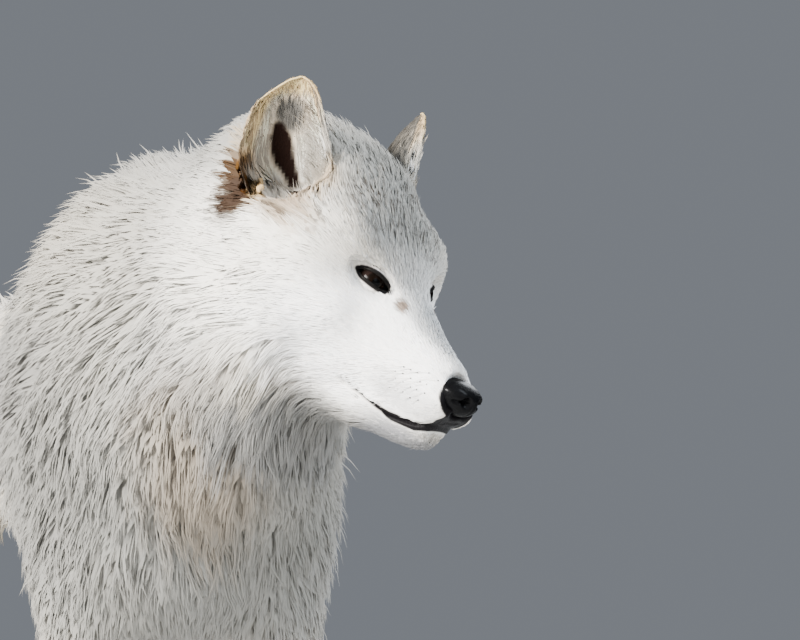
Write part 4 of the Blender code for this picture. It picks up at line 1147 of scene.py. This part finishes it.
def coat_piece(name, hair, some, uv, softness):
    """One mesh of solid three-sided tufts, pointed at their tips and closed at their roots."""
    rings = hair["rings"]
    root, line, up = hair["root"][some], hair["line"][some], hair["up"][some]
    count = len(root)
    stops = (0.0, 0.5) if rings == 2 else (0.0, 0.36, 0.70)
    fat = (0.85, 1.0) if rings == 2 else (0.75, 1.0, 0.74)

    def along_line(share):
        place = share * STEPS
        i = min(int(place), STEPS - 1)
        return line[:, i] + (line[:, i + 1] - line[:, i]) * (place - i), up[:, min(int(round(place)), STEPS)]

    each = rings * 3 + 1
    vertices, strand, shaded = (np.empty((count, each, 3)) for _ in range(3))
    thick = hair["thickness"][some]
    for r, share in enumerate(stops):
        centre, normal = along_line(share)
        way = unit(along_line(min(share + 0.12, 1.0))[0] - along_line(max(share - 0.12, 0.0))[0])
        across = unit(np.cross(way, normal))
        over = np.cross(across, way)
        width = (thick * fat[r] / 2)[:, None]
        for k, (a, b) in enumerate(((-1.0, -0.25), (1.0, -0.25), (0.0, 0.50))):
            vertices[:, r * 3 + k] = centre + across * width * a + over * width * b
            strand[:, r * 3 + k] = (a * 0.5, b * 0.5, share)
            own = unit(across * a + over * (b + 0.2))
            shaded[:, r * 3 + k] = unit(normal * softness + own * (1 - softness))
    vertices[:, -1] = line[:, -1]
    strand[:, -1] = (0, 0, 1)
    shaded[:, -1] = up[:, STEPS]
    vertices[..., 2] = np.maximum(vertices[..., 2], 0.0008)
    pattern = [(0, 1, 2)]
    for r in range(rings - 1):
        for k in range(3):
            a, b = r * 3 + k, r * 3 + (k + 1) % 3
            pattern += [(a, a + 3, b + 3), (a, b + 3, b)]
    for k in range(3):
        pattern.append(((rings - 1) * 3 + k, rings * 3, (rings - 1) * 3 + (k + 1) % 3))
    faces = (np.array(pattern)[None] + (np.arange(count) * each)[:, None, None]).reshape(-1)
    mesh = bpy.data.meshes.new(name)
    mesh.vertices.add(count * each)
    mesh.vertices.foreach_set("co", vertices.ravel())
    mesh.loops.add(len(faces))
    mesh.loops.foreach_set("vertex_index", faces.astype(np.int32))
    mesh.polygons.add(len(faces) // 3)
    mesh.polygons.foreach_set("loop_start", np.arange(0, len(faces), 3, dtype=np.int32))
    mesh.update(calc_edges=True)
    mesh.shade_smooth()
    seed = (np.random.default_rng(5).random(count) * 90)[:, None, None] * (1, 1, 0)
    luck = np.stack([hair["tint"][some], hair["chance"][some], hair["chance"][some]], 1)
    for label, value in (
        ("root_place", np.repeat(root, each, 0)), ("strand", strand + seed), ("tuft", np.repeat(luck, each, 0)),
        ("ear_marks_and_shade", np.repeat(hair["ear"][some], each, 0)),
    ):
        attribute = mesh.attributes.new(label, "FLOAT_VECTOR", "POINT")
        attribute.data.foreach_set("vector", value.astype(np.float32).ravel())
    place = uv[some]
    low, high = place.min(0), place.max(0)
    place = 0.004 + 0.992 * (place - low) / np.maximum(high - low, 1e-6)
    corner = np.array([(k % 3) / 2 for k in range(rings * 3)] + [0.5])
    height = np.array([s for s in stops for _ in range(3)] + [1.0])
    patch_uv = np.stack([corner - 0.5, height - 0.5], 1) * PATCH_SIDE
    uvs = (place[:, None] + patch_uv[None]).reshape(-1, 2)[faces]
    mesh.uv_layers.new(name="OFBake").data.foreach_set("uv", uvs.astype(np.float32).ravel())
    mesh.normals_split_custom_set_from_vertices(shaded.reshape(-1, 3))
    mesh.materials.append(coat_finish)
    settled(name, mesh)


coat_finish, tree, shader = fresh_material("coat_finish", 0.66, Specular_IOR_Level=0.14)
root_place = node(tree, "ShaderNodeAttribute", attribute_name="root_place").outputs["Vector"]
strand = node(tree, "ShaderNodeAttribute", attribute_name="strand").outputs["Vector"]
tuft = node(tree, "ShaderNodeAttribute", attribute_name="tuft").outputs["Vector"]
tint, chance, _ = node(tree, "ShaderNodeSeparateXYZ", {0: tuft}).outputs
hairs = noise(tree, vectors(tree, "MULTIPLY", strand, (3.6, 3.6, 0.8)), 2.0, 2.0)
tip = node(tree, "ShaderNodeSeparateXYZ", {0: strand}).outputs[2]
bright = sums(tree, "MULTIPLY_ADD", tint, 0.10, 0.90)
bright = sums(tree, "MULTIPLY_ADD", sums(tree, "SUBTRACT", hairs, 0.5), 0.24, bright)
# the roots up to 5% paler than the tips: painted light lifting the shade deep in the coat
bright = sums(tree, "MULTIPLY", bright, ramp(tree, tip, 0.0, 0.5, 1.05, 1.0))
colour = mixed(tree, 1.0, marked_and_shaded(tree, root_place), grey_of(tree, bright), "MULTIPLY")
# dark tips here and there on the forehead, before the ears and over the eyes
in_head = mirrored_in_head(tree, root_place)
flecked = 0.0
for strength, soft, centre, radii in (
    (1.00, 0.4, (0.022, 0.152, 0.084), (0.030, 0.036, 0.022)),
    (0.75, 0.5, (0.060, 0.166, 0.074), (0.026, 0.030, 0.024)),
    (0.90, 0.4, (0.032, 0.128, 0.064), (0.010, 0.010, 0.006)),
):
    mask = sums(tree, "MULTIPLY", patch(tree, in_head, centre, radii, soft), strength)
    flecked = sums(tree, "MAXIMUM", mask, flecked)
clusters = ramp(tree, noise(tree, root_place, 130.0, 1.0), 0.44, 0.54)
dark_tip = sums(tree, "MULTIPLY", sums(tree, "MULTIPLY", flecked, clusters), sums(
    tree, "MULTIPLY", ramp(tree, chance, 0.42, 0.50), ramp(tree, tip, 0.20, 0.55),
))
tree.links.new(mixed(tree, dark_tip, colour, (0.045, 0.034, 0.025, 1)), shader.inputs["Base Color"])
bumped(tree, shader, hairs, 0.25, 0.0004)

ALONG_HEAD = from_head((0, 0.0, -0.01)), from_head((0, 0.20, 0.0))
ALONG_EARS = from_head((0, 0.22, 0.05)), from_head((0, 0.25, 0.20))
REGIONS = (
    # region, softness of its shading, ends of the line it is unwrapped round
    ("face", 0.62, ALONG_HEAD),
    ("ears", 0.60, ALONG_EARS),
    ("cheeks", 0.76, ALONG_HEAD),
    ("mane", 0.78, ((0.062, -0.49, 0.68), (0.022, -0.09, 0.60))),
    ("trunk", 0.70, ((0.022, -0.19, 0.60), (0.022, 0.46, 0.62))),
    ("forelegs", 0.65, ((0.022, -0.29, 0.0), (0.022, -0.29, 0.5))),
    ("hindlegs", 0.65, ((0.022, 0.34, 0.0), (0.022, 0.34, 0.5))),
    ("tail", 0.70, ((0.022, 0.565, 0.70), (0.002, 0.575, 0.26))),
)
STANCE = 0.074   # of each leg from the midline
# layer: rings, spacing, thickness and length against the coat map, rise, gather, share astray
LAYERS = {
    "face": {"guard": (2, 0.80, 0.68, 1.00, (0.35, 0.98), (0.30, 0.70), 0.06)},
    "ears": {"guard": (2, 1.10, 0.60, 0.90, (0.40, 1.00), (0.20, 0.60), 0.08)},
    "cheeks": {
        "under": (2, 1.85, 3.40, 0.62, (0.45, 0.80), (0.10, 0.40), 0.00),
        "guard": (3, 0.82, 0.72, 1.00, (0.60, 1.04), (0.35, 0.80), 0.08),
    },
    "mane": {
        "under": (2, 1.78, 4.00, 0.62, (0.60, 0.92), (0.10, 0.40), 0.00),
        "guard": (3, 1.08, 0.92, 1.00, (0.74, 1.05), (0.35, 0.80), 0.08),
    },
    "trunk": {
        "under": (2, 1.90, 2.80, 0.60, (0.34, 0.74), (0.10, 0.40), 0.00),
        "guard": (3, 1.45, 0.90, 1.05, (0.45, 1.02), (0.20, 0.65), 0.12),
    },
    "forelegs": {"guard": (2, 1.75, 1.60, 1.00, (0.30, 0.95), (0.20, 0.60), 0.05)},
    "hindlegs": {"guard": (2, 1.75, 1.60, 1.00, (0.30, 0.95), (0.20, 0.60), 0.05)},
    "tail": {
        "under": (2, 1.90, 2.80, 0.60, (0.34, 0.74), (0.10, 0.40), 0.00),
        "guard": (3, 1.10, 0.80, 1.00, (0.50, 1.02), (0.35, 0.80), 0.12),
    },
}
# long pale hairs stand across the hollow from the ear's front edge
FRINGE = 200   # hairs to an ear
ear_hairs = []
for name, side in SIDES:
    across, out, up = in_ear(centres, name)
    front = triangle_is_ear & (centres_local[:, 0] * side > 0) & (inside[triangles].mean(1) > 0.5)
    front &= (across > 0.017) & (across < 0.036) & (up > 0.024) & (up < 0.090)
    picks = rng.choice(np.flatnonzero(front), FRINGE, p=areas[front] / areas[front].sum())
    root = centres[picks] + rng.normal(0, 0.0012, (len(picks), 3))
    _, axis, facing, to_front = ear_axes[name]
    ways = np.stack([to_front, facing, axis])
    aim = np.stack([rng.normal(*way, len(picks)) for way in ((-0.62, 0.22), (0.42, 0.14), (0.72, 0.2))], 1)
    aim = unit((aim @ ways) @ HEAD_TURN.T)
    curl = unit((np.array((-0.5, -0.45, 0.2)) @ ways) @ HEAD_TURN.T)
    reach = rng.uniform(0.008, 0.016, len(picks))
    t = np.linspace(0, 1, STEPS + 1)
    line = root[:, None] + (aim * reach[:, None])[:, None] * t[None, :, None]
    line += (curl[None] * (reach * 0.35)[:, None])[:, None] * (t ** 2)[None, :, None]
    greyer = smoothly(up[picks], 0.060, 0.085) * rng.uniform(0.3, 1.0, len(picks))
    ear_hairs.append({
        "root": root, "line": line,
        "up": np.repeat((HEAD_TURN @ facing)[None, None], len(picks), 0).repeat(STEPS + 1, 1),
        "thickness": np.full(len(picks), 0.00062), "rings": 2, "tint": rng.random(len(picks)),
        "chance": np.zeros(len(picks)), "ear": np.stack([0 * greyer, greyer, 1 - greyer], 1),
    })
ear_hair = {
    key: value if key == "rings" else np.concatenate([h[key] for h in ear_hairs])
    for key, value in ear_hairs[0].items()
}
coat_piece(
    "coat_ears_fringe", ear_hair, np.arange(len(ear_hair["root"])), around(*ALONG_EARS, ear_hair["root"]),
    0.5,
)
PIECE_FACES = 190000   # the most that one piece of the coat has
for tag, softness, (start, end) in REGIONS:
    for layer, (rings, *growth) in LAYERS[tag].items():
        hair = grown(region == tag, rings, *growth)
        root = straight(hair["root"])
        uv = around(start, end, root)
        if tag in ("forelegs", "hindlegs"):
            limb = np.where(root[:, 0] > MIDLINE, 1, -1)
            for side in (-1, 1):
                shin = limb == side
                foot = MIDLINE + side * STANCE
                uv[shin] = around((foot, start[1], 0.0), (foot, end[1], 0.5), root[shin])
                uv[shin, 0] = uv[shin, 0] * 0.5 + (0.5 if side > 0 else 0.0)
        parts = math.ceil(len(uv) * (rings * 6 - 2) / PIECE_FACES)
        order = np.argsort(uv[:, 0], kind="stable")
        for number, some in enumerate(np.array_split(order, parts)):
            soft = min(softness + 0.2, 0.9) if layer == "under" else softness
            coat_piece(f"coat_{tag}_{layer}_{number + 1}", hair, some, uv, soft)

# ------------------------------------------------------------------ whiskers
# Stiff, tapering bristles in four rows on each side of the muzzle, set into the skin one by one, each from a
# small dark root.

whisker_finish, tree, shader = fresh_material("whisker_finish", 0.4)
along_it = noise(tree, node(tree, "ShaderNodeTexCoord").outputs["Object"], 40.0, 2.0)
pale = mixed(tree, along_it, (0.50, 0.48, 0.45, 1), (0.85, 0.83, 0.80, 1))
tree.links.new(pale, shader.inputs["Base Color"])
skin_tree = BVHTree.FromPolygons([tuple(p) for p in skin_points], [tuple(t) for t in triangles])
whiskers, sockets = bmesh.new(), bmesh.new()
turned = head.to_3x3()
for name, side in SIDES:
    for row in range(4):
        for k in range(5):
            back = 0.030 + 0.0080 * k + 0.0025 * (row % 2) + rng.normal(0, 0.0012)
            height = 0.001 - 0.0066 * row - 0.0010 * k + rng.normal(0, 0.0008)
            start = head @ Vector((side * 0.06, back, height))
            aim = turned @ Vector((-side, 0, 0))
            hit = skin_tree.ray_cast(start, aim)[0]
            if hit is None:
                continue
            out = turned @ Vector((side * 0.62, 0.70, -0.30 - 0.10 * row)).normalized()
            droop = turned @ Vector((side * -0.10, 0.35, -0.35))
            length = 0.022 + 0.006 * k + 0.004 * rng.random()
            path = [hit + out * length * s + droop * length * s * s * 0.6 for s in np.linspace(0, 1, 7)]
            tube(whiskers, path, [0.00020 * (1 - s) + 0.00005 for s in np.linspace(0, 1, 7)], sides=5)
            dot = bmesh.ops.create_icosphere(sockets, subdivisions=2, radius=0.00065)["verts"]
            bmesh.ops.translate(sockets, verts=dot, vec=hit + aim * -0.0006)
placed("whiskers", whiskers, whisker_finish)
placed("whisker_roots", sockets, rim_finish)

# ------------------------------------------------------------------ floor and light
# A plain pale floor, a broad soft key light high on the wolf's right, a cool even fill, and two weak cool lamps
# above and behind it, so that its back stands out.

floor_mesh = bmesh.new()
bmesh.ops.create_circle(floor_mesh, cap_ends=True, cap_tris=False, segments=96, radius=2.6)
mesh = bpy.data.meshes.new("floor")
floor_mesh.to_mesh(mesh)
floor_mesh.free()
floor = stood("floor", mesh)
floor_finish, tree, shader = fresh_material("floor_finish", 0.8)
shader.inputs["Base Color"].default_value = (0.62, 0.62, 0.61, 1)
mesh.materials.append(floor_finish)

world = bpy.data.worlds.new("studio")
bpy.context.scene.world = world
world.use_nodes = True
background = world.node_tree.nodes["Background"]
background.inputs["Color"].default_value = (0.19, 0.205, 0.23, 1)
background.inputs["Strength"].default_value = 1.0


def lamp(name, place, aim, energy, size, colour):
    data = bpy.data.lights.new(name, "AREA")
    data.shape = "DISK"
    data.size = size
    data.energy = energy
    data.color = colour
    made = stood(name, data)
    made.location = place
    made.rotation_euler = (Vector(aim) - Vector(place)).to_track_quat("-Z", "Y").to_euler()


lamp("key", (-3.46, -2.69, 2.5), (0.04, -0.29, 0.65), 1400, 1.6, (1.0, 0.975, 0.93))
lamp("fill", (1.64, -4.19, 1.6), (0.04, -0.19, 0.6), 60, 2.4, (0.86, 0.93, 1.0))
lamp("top", (2.1, -1.6, 3.5), (0.10, -0.38, 0.76), 230, 1.8, (0.82, 0.91, 1.0))
lamp("back", (1.64, 3.21, 2.6), (0.0, 0.0, 0.6), 200, 2.0, (0.92, 0.96, 1.0))
